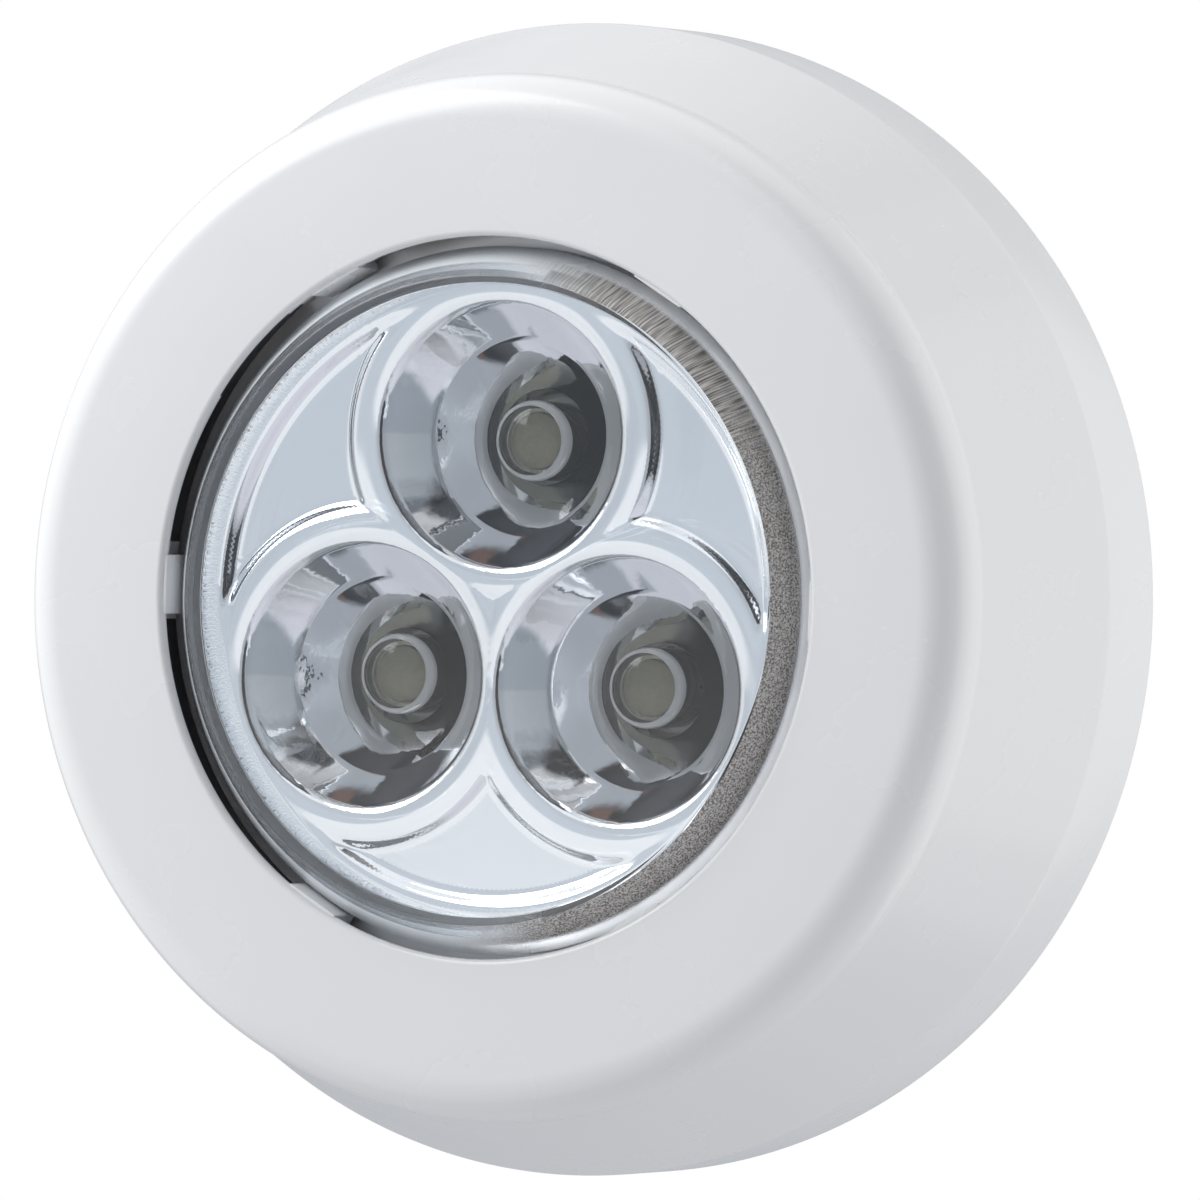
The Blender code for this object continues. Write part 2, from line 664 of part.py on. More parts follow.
def post_corners():
    """A corner post's outline: a wedge between two cells' end plates and their folded strip."""
    lean = CELL_SIDE_ANGLE
    side = CONTACT_OUTER_END + FIT
    strip = (CELL_OFFSET + CONTACT_HALF_WIDTH) * math.cos(lean) + PLATE_AT_HEAD * math.sin(lean)
    outer = strip - CONTACT_THICKNESS / 2 - 2 * FIT
    inner = (side + POST_TIP_HALF_WIDTH * math.cos(lean)) / math.sin(lean)
    outer_half = (outer * math.sin(lean) - side) / math.cos(lean)
    return [
        (inner, -POST_TIP_HALF_WIDTH), (outer, -outer_half),
        (outer, outer_half), (inner, POST_TIP_HALF_WIDTH),
    ]


def build_chassis(bench, finishes):
    """Moulded frame: a deck in front of the cells, a floor behind them, posts and walls between."""
    deck_inner = deck_opening_radius()
    top = inner_shape_corners(TWIST_GAP)[0]
    deck_outer = top[0] + math.tan(CONE_ANGLE) * (top[1] - DECK_TOP)
    corners = [
        (deck_inner, DECK_TOP),
        (deck_outer, DECK_TOP),
        (deck_outer, DECK_LEVEL),
        (deck_inner, DECK_LEVEL),
    ]
    chassis = bench.part(
        "battery_chassis", outline_mesh("battery_chassis", corners), bench.lamp, finishes["grey_plastic"])
    turn_profile(chassis)
    floor = bench.tool(
        "chassis_floor", drum_mesh("chassis_floor", FLOOR_RADIUS, FLOOR_THICKNESS, ROUND_STEPS // 2),
        bench.lamp, (0, 0, FLOOR_LEVEL))
    leg_inner, leg_outer = leg_places()
    leg_bottom = FLOOR_LEVEL + FLOOR_THICKNESS / 2
    leg_height = DECK_LEVEL + DECK_THICKNESS / 2 - leg_bottom
    arm_width = LEG_WIDTH - 2 * FIT
    arm_start = FLOOR_RADIUS - LEG_THICKNESS
    arm_length = leg_outer - FIT - arm_start
    for index in range(CELL_COUNT):
        corner = cell_angle(index) + CELL_SIDE_ANGLE
        place = around((leg_inner + leg_outer) / 2, corner)
        leg = bench.tool(
            "chassis_leg_%d" % index, block_mesh("chassis_leg", (LEG_THICKNESS, LEG_WIDTH, leg_height)),
            bench.lamp, (*place, leg_bottom), (0, 0, corner))
        combine(chassis, leg, "UNION")
        place = around(arm_start + arm_length / 2, corner)
        arm = bench.tool(
            "floor_arm_%d" % index, block_mesh("floor_arm", (arm_length, arm_width, FLOOR_THICKNESS)),
            bench.lamp, (*place, FLOOR_LEVEL), (0, 0, corner))
        combine(floor, arm, "UNION")
        post_height = DECK_LEVEL + DECK_THICKNESS / 2 - POST_BOTTOM
        post = bench.tool(
            "corner_post_%d" % index, plate_mesh("corner_post", post_corners(), post_height),
            bench.lamp, (0, 0, POST_BOTTOM + post_height / 2), (0, 0, corner))
        combine(chassis, post, "UNION")
        angle = cell_angle(index)
        wall_place = CELL_OFFSET + CELL_RADIUS + FIT + CELL_WALL_THICKNESS / 2
        wall_bottom = CELL_LEVEL - CELL_WALL_REACH
        wall_height = DECK_LEVEL + DECK_THICKNESS / 2 - wall_bottom
        for side in (-1, 1):
            place = around(wall_place, angle, side * CELL_WALL_PLACE)
            wall = bench.tool(
                "cell_wall_%d_%s" % (index, "left" if side > 0 else "right"),
                block_mesh("cell_wall", (CELL_WALL_THICKNESS, CELL_WALL_LENGTH, wall_height)),
                bench.lamp, (*place, wall_bottom), (0, 0, angle))
            combine(chassis, wall, "UNION")
    combine(chassis, floor, "UNION")
    for index in range(CELL_COUNT):
        place = around(CHASSIS_SCREW_PLACE, cell_angle(index))
        hole = bench.tool(
            "deck_hole_%d" % index,
            drum_mesh("deck_hole", CHASSIS_SCREW_RADIUS + FIT, DECK_THICKNESS + 2 * OVERRUN, TINY_STEPS),
            bench.lamp, (*place, DECK_LEVEL - OVERRUN))
        combine(chassis, hole, "DIFFERENCE")
    return chassis


def build_screw(bench, finishes, name, parent, place, seat, sizes):
    """Pan-head screw whose head lies just behind its seat, with a cross recess."""
    radius, length, head_radius, head_height = sizes
    under_head = seat - FIT
    corners = [
        (0, under_head + length),
        (radius, under_head + length, radius / 2),
        (radius, under_head),
        (head_radius, under_head),
        (head_radius, under_head - head_height, SCREW_HEAD_ROUNDING),
        (0, under_head - head_height),
    ]
    screw = bench.part(
        name, outline_mesh(name, corners), parent, finishes["zinc_steel"], (*place, 0))
    turn_profile(screw, TINY_STEPS)
    recess_size = (2 * radius, SCREW_RECESS_WIDTH, SCREW_RECESS_DEPTH + OVERRUN)
    for index in range(2):
        recess = bench.tool(
            "%s_recess_%d" % (name, index), block_mesh("recess", recess_size), parent,
            (*place, under_head - head_height - OVERRUN), (0, 0, index * math.pi / 2))
        combine(screw, recess, "DIFFERENCE")
    return screw


def build_cells(bench, finishes):
    """Three cells head to tail, and the conical spring at each tail."""
    body_end = CELL_HEAD_END - CELL_NUB_LENGTH
    corners = [
        (0, CELL_HEAD_END),
        (CELL_NUB_RADIUS, CELL_HEAD_END, CELL_NUB_ROUNDING),
        (CELL_NUB_RADIUS, body_end),
        (CELL_RADIUS, body_end, CELL_EDGE_ROUNDING),
        (CELL_RADIUS, CELL_TAIL_END, CELL_EDGE_ROUNDING),
        (0, CELL_TAIL_END),
    ]
    spring_end = CELL_TAIL_END - FIT - SPRING_WIRE / 2
    spring_start = spring_end - SPRING_LENGTH + SPRING_WIRE
    coil = coil_points(
        spring_start, spring_end, SPRING_LARGE_RADIUS, SPRING_SMALL_RADIUS, SPRING_TURNS)
    print("contact spring, least gap to itself: %.5f m" % least_self_gap(coil, SPRING_WIRE))
    for index in range(CELL_COUNT):
        angle = cell_angle(index)
        place = around(CELL_OFFSET, angle, CELL_SHIFT)
        lie_down = (0, math.pi / 2, angle + math.pi / 2)
        cell = bench.part(
            "battery_cell_%d" % (index + 1), outline_mesh("battery_cell", corners),
            bench.lamp, finishes["cell_sleeve"], (*place, CELL_LEVEL), lie_down)
        turn_profile(cell, SMALL_STEPS)
        bench.part(
            "contact_spring_%d" % (index + 1), tube_mesh("contact_spring", coil, SPRING_WIRE, 1),
            bench.lamp, finishes["zinc_steel"], (*place, CELL_LEVEL), lie_down)


def contact_place(index, along, lateral):
    """A place beside cell number index: along its axis, and outwards from it."""
    return around(CELL_OFFSET + lateral, cell_angle(index), along)


def build_contacts(bench, finishes):
    """Two folded strips that join neighbouring cells, and two end plates with solder tails."""
    for index in range(CELL_COUNT - 1):
        following = index + 1
        route = [
            contact_place(index, PLATE_AT_HEAD, -CONTACT_HALF_WIDTH),
            contact_place(index, PLATE_AT_HEAD, CONTACT_HALF_WIDTH),
            contact_place(following, PLATE_AT_TAIL, CONTACT_HALF_WIDTH),
            contact_place(following, PLATE_AT_TAIL, -CONTACT_HALF_WIDTH),
        ]
        strip = bench.part(
            "series_contact_%d" % (index + 1), strip_mesh("series_contact", route, CONTACT_HEIGHT),
            bench.lamp, finishes["nickel_strip"], (0, 0, CELL_LEVEL))
        wall = strip.modifiers.new("thickness", "SOLIDIFY")
        wall.thickness = CONTACT_THICKNESS
        wall.offset = 0
        wall.use_even_offset = True
    half = CONTACT_HALF_WIDTH
    tail = TAIL_WIDTH / 2
    low = -CONTACT_HEIGHT / 2
    corners = [
        (-half, -low), (-half, low), (-tail, low), (-tail, low - TAIL_LENGTH),
        (tail, low - TAIL_LENGTH), (tail, low), (half, low), (half, -low),
    ]
    ends = (
        ("positive_terminal", CELL_COUNT - 1, PLATE_AT_HEAD),
        ("negative_terminal", 0, PLATE_AT_TAIL),
    )
    for name, index, along in ends:
        place = contact_place(index, along, 0)
        stand_up = (math.pi / 2, 0, cell_angle(index))
        bench.part(
            name, plate_mesh(name, corners, CONTACT_THICKNESS), bench.lamp,
            finishes["nickel_strip"], (*place, CELL_LEVEL), stand_up)


def build_lens(bench, finishes):
    """Clear cap: face, tapered side, and a skirt with the flange that keeps it in the housing."""
    face = FACE_HEIGHT + LENS_RISE
    taper_top = face - LENS_FACE_ROUNDING
    taper_foot = REFLECTOR_RIM
    skirt_inner = LENS_SKIRT_RADIUS - LENS_SKIRT_WALL
    taper_inner = LENS_TAPER_RADIUS - LENS_TAPER_WALL
    corners = [
        (0, face),
        (LENS_TAPER_RADIUS - LENS_FACE_ROUNDING, face),
        (LENS_TAPER_RADIUS, taper_top),
        (LENS_SKIRT_RADIUS, taper_foot),
        (LENS_SKIRT_RADIUS, LENS_FLANGE_TOP),
        (LENS_FLANGE_RADIUS, LENS_FLANGE_TOP, LENS_FLANGE_ROUNDING),
        (LENS_FLANGE_RADIUS, LENS_FLANGE_BOTTOM, LENS_FLANGE_ROUNDING),
        (skirt_inner, LENS_FLANGE_BOTTOM),
        (skirt_inner, taper_foot),
        (taper_inner, face - LENS_FACE_THICKNESS),
        (0, face - LENS_FACE_THICKNESS),
    ]
    lens = bench.part(
        "button_lens", outline_mesh("button_lens", corners), bench.button, finishes["clear_plastic"])
    return turn_profile(lens)


def build_reflector(bench, finishes):
    """Mirrored plate with a raised rim, three parabolic bowls with raised borders, and screw posts."""
    border_inner = REFLECTOR_RADIUS - PANEL_EDGE_BORDER
    corners = [
        (0, PANEL_LEVEL),
        (border_inner, PANEL_LEVEL),
        (border_inner + PANEL_DEPTH, REFLECTOR_RIM, PANEL_DEPTH / 2),
        (REFLECTOR_RADIUS, REFLECTOR_RIM, PANEL_DEPTH / 2),
        (REFLECTOR_RADIUS, REFLECTOR_BACK),
        (0, REFLECTOR_BACK),
    ]
    reflector = bench.part(
        "reflector", outline_mesh("reflector", corners), bench.button, finishes["mirror_coat"])
    turn_profile(reflector)
    shares = [index / BOWL_RINGS for index in range(BOWL_RINGS + 1)]
    flank = [(bowl_radius(share), REFLECTOR_RIM - BOWL_DEPTH * share) for share in shares]
    bowl_corners = [
        (*flank[0], BOWL_RIM_ROUNDING),
        (BOWL_RIM_RADIUS + PANEL_BORDER, REFLECTOR_RIM, 2 * PANEL_DEPTH),
        (BOWL_RIM_RADIUS + PANEL_BORDER, PANEL_LEVEL - PANEL_DEPTH / 2),
    ]
    bowl_corners += [(radius + BOWL_WALL, level) for radius, level in flank[1:]]
    bowl_corners += flank[:0:-1]
    for index in range(BOWL_COUNT):
        opening = bench.tool(
            "bowl_opening_%d" % index,
            drum_mesh("bowl_opening", BOWL_RIM_RADIUS + BOWL_WALL / 4, REFLECTOR_THICKNESS + 2 * OVERRUN),
            bench.button, (*around(BOWL_PITCH, bowl_angle(index)), REFLECTOR_BACK - OVERRUN))
        combine(reflector, opening, "DIFFERENCE")
    for index in range(BOWL_COUNT):
        bowl = bench.tool(
            "bowl_%d" % index, outline_mesh("bowl", bowl_corners), bench.button,
            (*around(BOWL_PITCH, bowl_angle(index)), 0))
        combine(reflector, turn_profile(bowl, BOWL_STEPS), "UNION")
    hub = bench.tool(
        "panel_hub", drum_mesh("panel_hub", PANEL_HUB_RADIUS, PANEL_DEPTH, SMALL_STEPS // 2),
        bench.button, (0, 0, PANEL_LEVEL - PANEL_DEPTH / 4))
    combine(reflector, hub, "UNION")
    post_height = (PANEL_LEVEL + REFLECTOR_BACK) / 2 - BOARD_TOP - FIT
    for index in range(BOWL_COUNT):
        place = around(BOARD_SCREW_PLACE, bowl_angle(index) + math.pi / BOWL_COUNT)
        post = bench.tool(
            "reflector_post_%d" % index, drum_mesh("reflector_post", REFLECTOR_POST_RADIUS, post_height),
            bench.button, (*place, BOARD_TOP + FIT))
        combine(reflector, post, "UNION")
        pilot = bench.tool(
            "post_pilot_%d" % index,
            drum_mesh("post_pilot", BOARD_SCREW_RADIUS + FIT, BOARD_SCREW_LENGTH + OVERRUN, TINY_STEPS),
            bench.button, (*place, BOARD_TOP + FIT - OVERRUN))
        combine(reflector, pilot, "DIFFERENCE")
    return reflector


def build_leds(bench, finishes):
    """Three clear light-emitting diodes that stand up in the bowls on their leads."""
    foot = LED_TIP - LED_HEIGHT
    corners = [
        (0, LED_TIP),
        (LED_RADIUS, LED_TIP, LED_TIP_ROUNDING),
        (LED_RADIUS, foot + LED_FLANGE_HEIGHT),
        (LED_FLANGE_RADIUS, foot + LED_FLANGE_HEIGHT),
        (LED_FLANGE_RADIUS, foot),
        (0, foot),
    ]
    lead_bottom = BOARD_BOTTOM - LED_LEAD_OVERHANG
    lead_height = foot + LED_FLANGE_HEIGHT / 2 - lead_bottom
    for index, side in enumerate(("top", "left", "right")):
        angle = bowl_angle(index)
        name = "led_" + side
        led = bench.part(
            name, outline_mesh(name, corners), bench.button, finishes["led_resin"],
            (*around(LED_PITCH, angle), 0))
        turn_profile(led, SMALL_STEPS)
        for way in (-1, 1):
            place = around(LED_PITCH, angle, way * LED_LEAD_SPACING / 2)
            lead = bench.tool(
                "%s_lead_%s" % (name, "plus" if way > 0 else "minus"),
                drum_mesh("led_lead", LED_LEAD_RADIUS, lead_height, TINY_STEPS // 2),
                bench.button, (*place, lead_bottom))
            combine(led, lead, "UNION")


def build_board(bench, finishes):
    """Round circuit board with holes for the leads and the screws, and its resistor."""
    board = bench.part(
        "led_board", drum_mesh("led_board", BOARD_RADIUS, BOARD_THICKNESS, ROUND_STEPS // 2),
        bench.button, finishes["board_laminate"], (0, 0, BOARD_BOTTOM))
    hole_height = BOARD_THICKNESS + 2 * OVERRUN
    holes = []
    for index in range(BOWL_COUNT):
        angle = bowl_angle(index)
        for way in (-1, 1):
            place = around(LED_PITCH, angle, way * LED_LEAD_SPACING / 2)
            holes.append((place, LED_LEAD_RADIUS + FIT, TINY_STEPS // 2))
        place = around(BOARD_SCREW_PLACE, angle + math.pi / BOWL_COUNT)
        holes.append((place, BOARD_SCREW_RADIUS + FIT, TINY_STEPS))
    leg_reach = RESISTOR_LENGTH / 2 + RESISTOR_LEG_STANDOFF
    for way in (-1, 1):
        place = Vector((RESISTOR_PLACE[0], RESISTOR_PLACE[1] + way * leg_reach))
        holes.append((place, RESISTOR_LEG_RADIUS + FIT, TINY_STEPS // 2))
    for index, (place, radius, steps) in enumerate(holes):
        hole = bench.tool(
            "board_hole_%d" % index, drum_mesh("board_hole", radius, hole_height, steps),
            bench.button, (*place, BOARD_BOTTOM - OVERRUN))
        combine(board, hole, "DIFFERENCE")
    end = RESISTOR_LENGTH / 2
    waist = end - RESISTOR_END_LENGTH
    corners = [
        (0, end), (RESISTOR_RADIUS, end, RESISTOR_RADIUS / 2), (RESISTOR_RADIUS, waist),
        (RESISTOR_WAIST_RADIUS, waist - RESISTOR_END_LENGTH / 2),
        (RESISTOR_WAIST_RADIUS, RESISTOR_END_LENGTH / 2 - waist), (RESISTOR_RADIUS, -waist),
        (RESISTOR_RADIUS, -end, RESISTOR_RADIUS / 2), (0, -end),
    ]
    level = BOARD_BOTTOM - FIT - RESISTOR_RADIUS
    resistor = bench.part(
        "resistor", outline_mesh("resistor", corners), bench.button, finishes["resistor_body"],
        (*RESISTOR_PLACE, level), (math.pi / 2, 0, 0))
    turn_profile(resistor, TINY_STEPS)
    legs_route = [
        (0, -leg_reach, RESISTOR_RADIUS + FIT + BOARD_THICKNESS / 2),
        (0, -leg_reach, 0),
        (0, leg_reach, 0),
        (0, leg_reach, RESISTOR_RADIUS + FIT + BOARD_THICKNESS / 2),
    ]
    legs = bench.tool(
        "resistor_legs", tube_mesh("resistor_legs", legs_route, 2 * RESISTOR_LEG_RADIUS, 1),
        bench.button, (*RESISTOR_PLACE, level))
    combine(resistor, legs, "UNION")
    return board


def build_switch(bench, finishes):
    """Latching push switch: body, hollow plunger and the spring inside it."""
    facing = cell_angle(CELL_COUNT - 1) + CELL_SIDE_ANGLE
    body = bench.part(
        "push_switch_body",
        block_mesh("push_switch_body", (SWITCH_SIZE, SWITCH_SIZE, SWITCH_TOP - SWITCH_BOTTOM)),
        bench.lamp, finishes["black_plastic"], (0, 0, SWITCH_BOTTOM), (0, 0, facing))
    edges = body.modifiers.new("edges", "BEVEL")
    edges.width = SWITCH_EDGE_ROUNDING
    edges.segments = 2
    cavity = bench.tool(
        "switch_cavity", drum_mesh("switch_cavity", SWITCH_CAVITY_RADIUS, CAVITY_TOP - CAVITY_BOTTOM),
        bench.lamp, (0, 0, CAVITY_BOTTOM))
    combine(body, cavity, "DIFFERENCE")
    mouth = bench.tool(
        "switch_mouth",
        drum_mesh("switch_mouth", PLUNGER_STEM_RADIUS + FIT, SWITCH_LID_THICKNESS + 2 * OVERRUN),
        bench.lamp, (0, 0, CAVITY_TOP - OVERRUN))
    combine(body, mouth, "DIFFERENCE")
    terminal_level = SWITCH_BOTTOM + SWITCH_BASE_THICKNESS
    for way in (-1, 1):
        reach = SWITCH_SIZE / 2 + SWITCH_TERMINAL_SIZE[0] / 2 - OVERRUN
        place = around(way * reach, facing, -SWITCH_SIZE / 4)
        terminal = bench.tool(
            "switch_terminal_%s" % ("in" if way > 0 else "out"),
            block_mesh("switch_terminal", (SWITCH_TERMINAL_SIZE[0] + OVERRUN, *SWITCH_TERMINAL_SIZE[1:])),
            bench.lamp, (*place, terminal_level), (0, 0, facing))
        combine(body, terminal, "UNION")
    corners = [
        (0, PLUNGER_TOP),
        (PLUNGER_STEM_RADIUS, PLUNGER_TOP, PLUNGER_ROUNDING),
        (PLUNGER_STEM_RADIUS, FLANGE_TOP),
        (PLUNGER_FLANGE_RADIUS, FLANGE_TOP),
        (PLUNGER_FLANGE_RADIUS, FLANGE_BOTTOM),
        (PLUNGER_BORE_RADIUS, FLANGE_BOTTOM),
        (PLUNGER_BORE_RADIUS, PLUNGER_TOP - PLUNGER_CROWN),
        (0, PLUNGER_TOP - PLUNGER_CROWN),
    ]
    plunger = bench.part(
        "push_switch_plunger", outline_mesh("push_switch_plunger", corners), bench.plunger,
        finishes["white_plastic"])
    turn_profile(plunger, SMALL_STEPS)
    coil = coil_points(
        CAVITY_BOTTOM + FIT + SWITCH_SPRING_WIRE / 2,
        PLUNGER_TOP - PLUNGER_CROWN - FIT - SWITCH_SPRING_WIRE / 2,
        SWITCH_SPRING_RADIUS, SWITCH_SPRING_RADIUS, SWITCH_SPRING_TURNS)
    print("switch spring, least gap to itself: %.5f m" % least_self_gap(coil, SWITCH_SPRING_WIRE))
    bench.part(
        "push_switch_spring", tube_mesh("push_switch_spring", coil, SWITCH_SPRING_WIRE, 1),
        bench.lamp, finishes["zinc_steel"])


def solder_places(index, plate, facing, level):
    """Where a lead lies along a terminal's tail, seen in the leads' own turned frame."""
    away = math.copysign(CONTACT_THICKNESS / 2 + FIT + WIRE_DIAMETER / 2, plate)
    places = []
    for lateral in (TAIL_WIDTH / 2, -TAIL_WIDTH):
        place = Matrix.Rotation(-facing, 2) @ contact_place(index, plate + away, lateral)
        places.append((*place, level))
    return places


def rising_places(start, end, shares):
    """Places between a lead's start and its end, by shares of the way across and of the rise."""
    way = Vector(end) - Vector(start)
    return [
        (start[0] + way.x * across, start[1] + way.y * across, start[2] + way.z * rise)
        for across, rise in shares
    ]


def build_wires(bench, finishes):
    """Three leads: cell to switch, switch to board, board to cell."""
    facing = cell_angle(CELL_COUNT - 1) + CELL_SIDE_ANGLE
    low = FLOOR_TOP + FIT / 2
    high = FLOOR_TOP + FIT + WIRE_DIAMETER
    under_board = BOARD_BOTTOM - FIT
    beside_leg = LEG_WIDTH / 2 + FIT + WIRE_DIAMETER / 2
    switch_side = SWITCH_SIZE / 2 + SWITCH_TERMINAL_SIZE[0] + FIT
    terminal_line = -SWITCH_SIZE / 4
    terminal_level = SWITCH_BOTTOM + SWITCH_BASE_THICKNESS + SWITCH_TERMINAL_SIZE[2] / 2
    leg_inner, leg_outer = leg_places()
    cell_end = CELL_SHIFT + CELL_HEAD_END
    cell_corner = CELL_INNER_SIDE * math.cos(CELL_SIDE_ANGLE) + cell_end * math.sin(CELL_SIDE_ANGLE)
    past_corner = cell_corner + WIRE_DIAMETER
    under_corner = cell_corner - WIRE_DIAMETER
    beside_lead = WIRE_DIAMETER + FIT
    plus_route = solder_places(CELL_COUNT - 1, PLATE_AT_HEAD, facing, low) + [
        (past_corner, -beside_lead, low), (under_corner, -beside_lead, low),
        (leg_outer, -beside_leg, low), (leg_inner, -beside_leg, low),
        (FLOOR_RADIUS, -beside_leg, high), ((FLOOR_RADIUS + switch_side) / 2, -beside_leg, high),
        (switch_side, terminal_line, terminal_level),
    ]
    minus_route = solder_places(0, PLATE_AT_TAIL, facing, low) + [
        (past_corner, beside_lead, low), (under_corner, beside_lead, low),
        (leg_outer, beside_leg, low), (leg_inner, beside_leg, low),
    ]
    minus_route += rising_places(
        (FLOOR_RADIUS, beside_leg, high),
        (BOARD_RADIUS - LEAD_BOARD_MARGIN, beside_leg, under_board), CELL_LEAD_RISE_SHARES)
    board_route = rising_places(
        (-switch_side, terminal_line, terminal_level),
        (-switch_side - LEAD_SWITCH_REACH, terminal_line - SWITCH_SIZE / 8, under_board),
        SWITCH_LEAD_RISE_SHARES)
    wires = (
        ("wire_cell_to_switch", plus_route, "red_sleeve"),
        ("wire_cell_to_board", minus_route, "black_sleeve"),
        ("wire_switch_to_board", board_route, "yellow_sleeve"),
    )
    for name, route, colour in wires:
        mesh = tube_mesh(name, smooth_route(route), WIRE_DIAMETER, 2)
        bench.part(name, mesh, bench.lamp, finishes[colour], turn=(0, 0, facing))


def settle(bench):
    """Turns every piece into its finished mesh, smooth but for its sharp edges."""
    bpy.context.view_layer.update()
    depsgraph = bpy.context.evaluated_depsgraph_get()
    finished = {}
    for piece in bench.parts.objects:
        if piece.type == "MESH":
            finished[piece] = bpy.data.meshes.new_from_object(piece.evaluated_get(depsgraph))
    for piece, mesh in finished.items():
        piece.modifiers.clear()
        piece.data = mesh
        mesh.shade_smooth()
        mesh.set_sharp_from_angle(angle=SHARP_ANGLE)


def main():
    for leftover in list(bpy.data.objects):
        bpy.data.objects.remove(leftover)
    bench = Bench()
    finishes = make_finishes()
    build_cover(bench, finishes)
    build_housing(bench, finishes)
    build_chassis(bench, finishes)
    build_cells(bench, finishes)
    build_contacts(bench, finishes)
    build_lens(bench, finishes)
    build_reflector(bench, finishes)
    build_leds(bench, finishes)
    build_board(bench, finishes)
    build_switch(bench, finishes)
    build_wires(bench, finishes)
    chassis_screw = (
        CHASSIS_SCREW_RADIUS, CHASSIS_SCREW_LENGTH, CHASSIS_SCREW_HEAD_RADIUS, CHASSIS_SCREW_HEAD_HEIGHT)
    board_screw = (
        BOARD_SCREW_RADIUS, BOARD_SCREW_LENGTH, BOARD_SCREW_HEAD_RADIUS, BOARD_SCREW_HEAD_HEIGHT)
    for index in range(CELL_COUNT):
        place = around(CHASSIS_SCREW_PLACE, cell_angle(index))
        build_screw(
            bench, finishes, "chassis_screw_%d" % (index + 1), bench.lamp, place, DECK_LEVEL, chassis_screw)
    for index in range(BOWL_COUNT):
        place = around(BOARD_SCREW_PLACE, bowl_angle(index) + math.pi / BOWL_COUNT)
        build_screw(
            bench, finishes, "board_screw_%d" % (index + 1), bench.button, place, BOARD_BOTTOM, board_screw)
    settle(bench)


main()
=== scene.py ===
# %% [markdown]
# A battery mini light, dressed
#
# This file is a lesson in cells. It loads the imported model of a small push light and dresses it:
# each step says what the piece is on the real thing, how it could be made in Blender, and why it
# is made the way it is here. Lengths are in metres. The light hangs on a wall: +Z is up and its
# front looks towards -Y.

# %% Load the fixed frame
import json
import math

import bmesh
import bpy
from mathutils import Matrix, Vector, geometry


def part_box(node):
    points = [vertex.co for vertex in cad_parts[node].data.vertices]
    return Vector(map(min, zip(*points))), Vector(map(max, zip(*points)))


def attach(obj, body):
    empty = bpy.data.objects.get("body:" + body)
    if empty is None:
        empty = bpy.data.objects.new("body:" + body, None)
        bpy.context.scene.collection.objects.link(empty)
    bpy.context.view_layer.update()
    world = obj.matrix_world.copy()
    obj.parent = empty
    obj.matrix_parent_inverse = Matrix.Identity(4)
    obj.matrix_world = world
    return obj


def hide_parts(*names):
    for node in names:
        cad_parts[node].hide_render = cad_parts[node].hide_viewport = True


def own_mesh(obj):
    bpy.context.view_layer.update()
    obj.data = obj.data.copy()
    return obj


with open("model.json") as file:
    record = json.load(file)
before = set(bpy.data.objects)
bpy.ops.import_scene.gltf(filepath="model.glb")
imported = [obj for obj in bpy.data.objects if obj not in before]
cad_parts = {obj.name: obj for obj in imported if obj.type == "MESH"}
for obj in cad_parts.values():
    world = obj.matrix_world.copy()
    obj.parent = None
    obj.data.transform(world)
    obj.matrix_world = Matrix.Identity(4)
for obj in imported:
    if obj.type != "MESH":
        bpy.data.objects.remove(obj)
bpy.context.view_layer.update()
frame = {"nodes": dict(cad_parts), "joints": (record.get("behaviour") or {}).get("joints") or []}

# %% [markdown]
# The light is a turned form, so it is easiest to draw it lying on its back, with z pointing out
# of the wall, and then to stand it up. STAND does both steps: it tips the drawing up and moves it
# out by the thickness of the adhesive pad and the gap behind the housing.

# %% The drawing's place in the world
RIM_LEVEL = 0.0013
STAND = Matrix.Translation((0, -RIM_LEVEL, 0)) @ Matrix.Rotation(math.pi / 2, 4, "X")


def level_of(node, front=True):
    """A CAD node's front or back, as a level above the housing's back rim."""
    low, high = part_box(node)
    return -(low.y if front else high.y) - RIM_LEVEL


def reach_of(node):
    """Half a CAD node's width."""
    low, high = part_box(node)
    return (high.x - low.x) / 2


BASE_RADIUS = reach_of("front_housing")
FACE_LEVEL = level_of("front_housing")
LENS_LEVEL = level_of("button_lens")
BUTTON_DROP = -sum(corner.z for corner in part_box("button_lens")) / 2
print("housing radius %.2f mm, face at %.2f mm" % (BASE_RADIUS * 1000, FACE_LEVEL * 1000))

# %% [markdown]
# Camera
#
# The photograph looks at the lamp from 26 degrees to its right, almost level, through a long
# lens: the round outline is only slightly narrowed. A long lens far away keeps that flat look.

# %% Camera
CAMERA_AZIMUTH = math.radians(26.03)
CAMERA_ELEVATION = math.radians(-0.46)
CAMERA_DISTANCE = 0.813
CAMERA_LENS = 398.6
VIEW_SHIFT = 0.00184

back = Vector((
    math.sin(CAMERA_AZIMUTH) * math.cos(CAMERA_ELEVATION),
    -math.cos(CAMERA_AZIMUTH) * math.cos(CAMERA_ELEVATION),
    math.sin(CAMERA_ELEVATION)))
right = Vector((math.cos(CAMERA_AZIMUTH), math.sin(CAMERA_AZIMUTH), 0))
target = Vector((0, -RIM_LEVEL, 0)) - right * VIEW_SHIFT

camera_data = bpy.data.cameras.new("photo_camera")
camera_data.lens = CAMERA_LENS
camera_data.clip_start = 0.01
camera_data.clip_end = 20
camera = bpy.data.objects.new("photo_camera", camera_data)
camera.location = target + back * CAMERA_DISTANCE
camera.rotation_mode = "QUATERNION"
camera.rotation_quaternion = (-back).to_track_quat("-Z", "Y")
bpy.context.scene.collection.objects.link(camera)
bpy.context.scene.camera = camera
bpy.context.scene.view_settings.view_transform = "Standard"
print("camera at", tuple(round(value, 3) for value in camera.location))

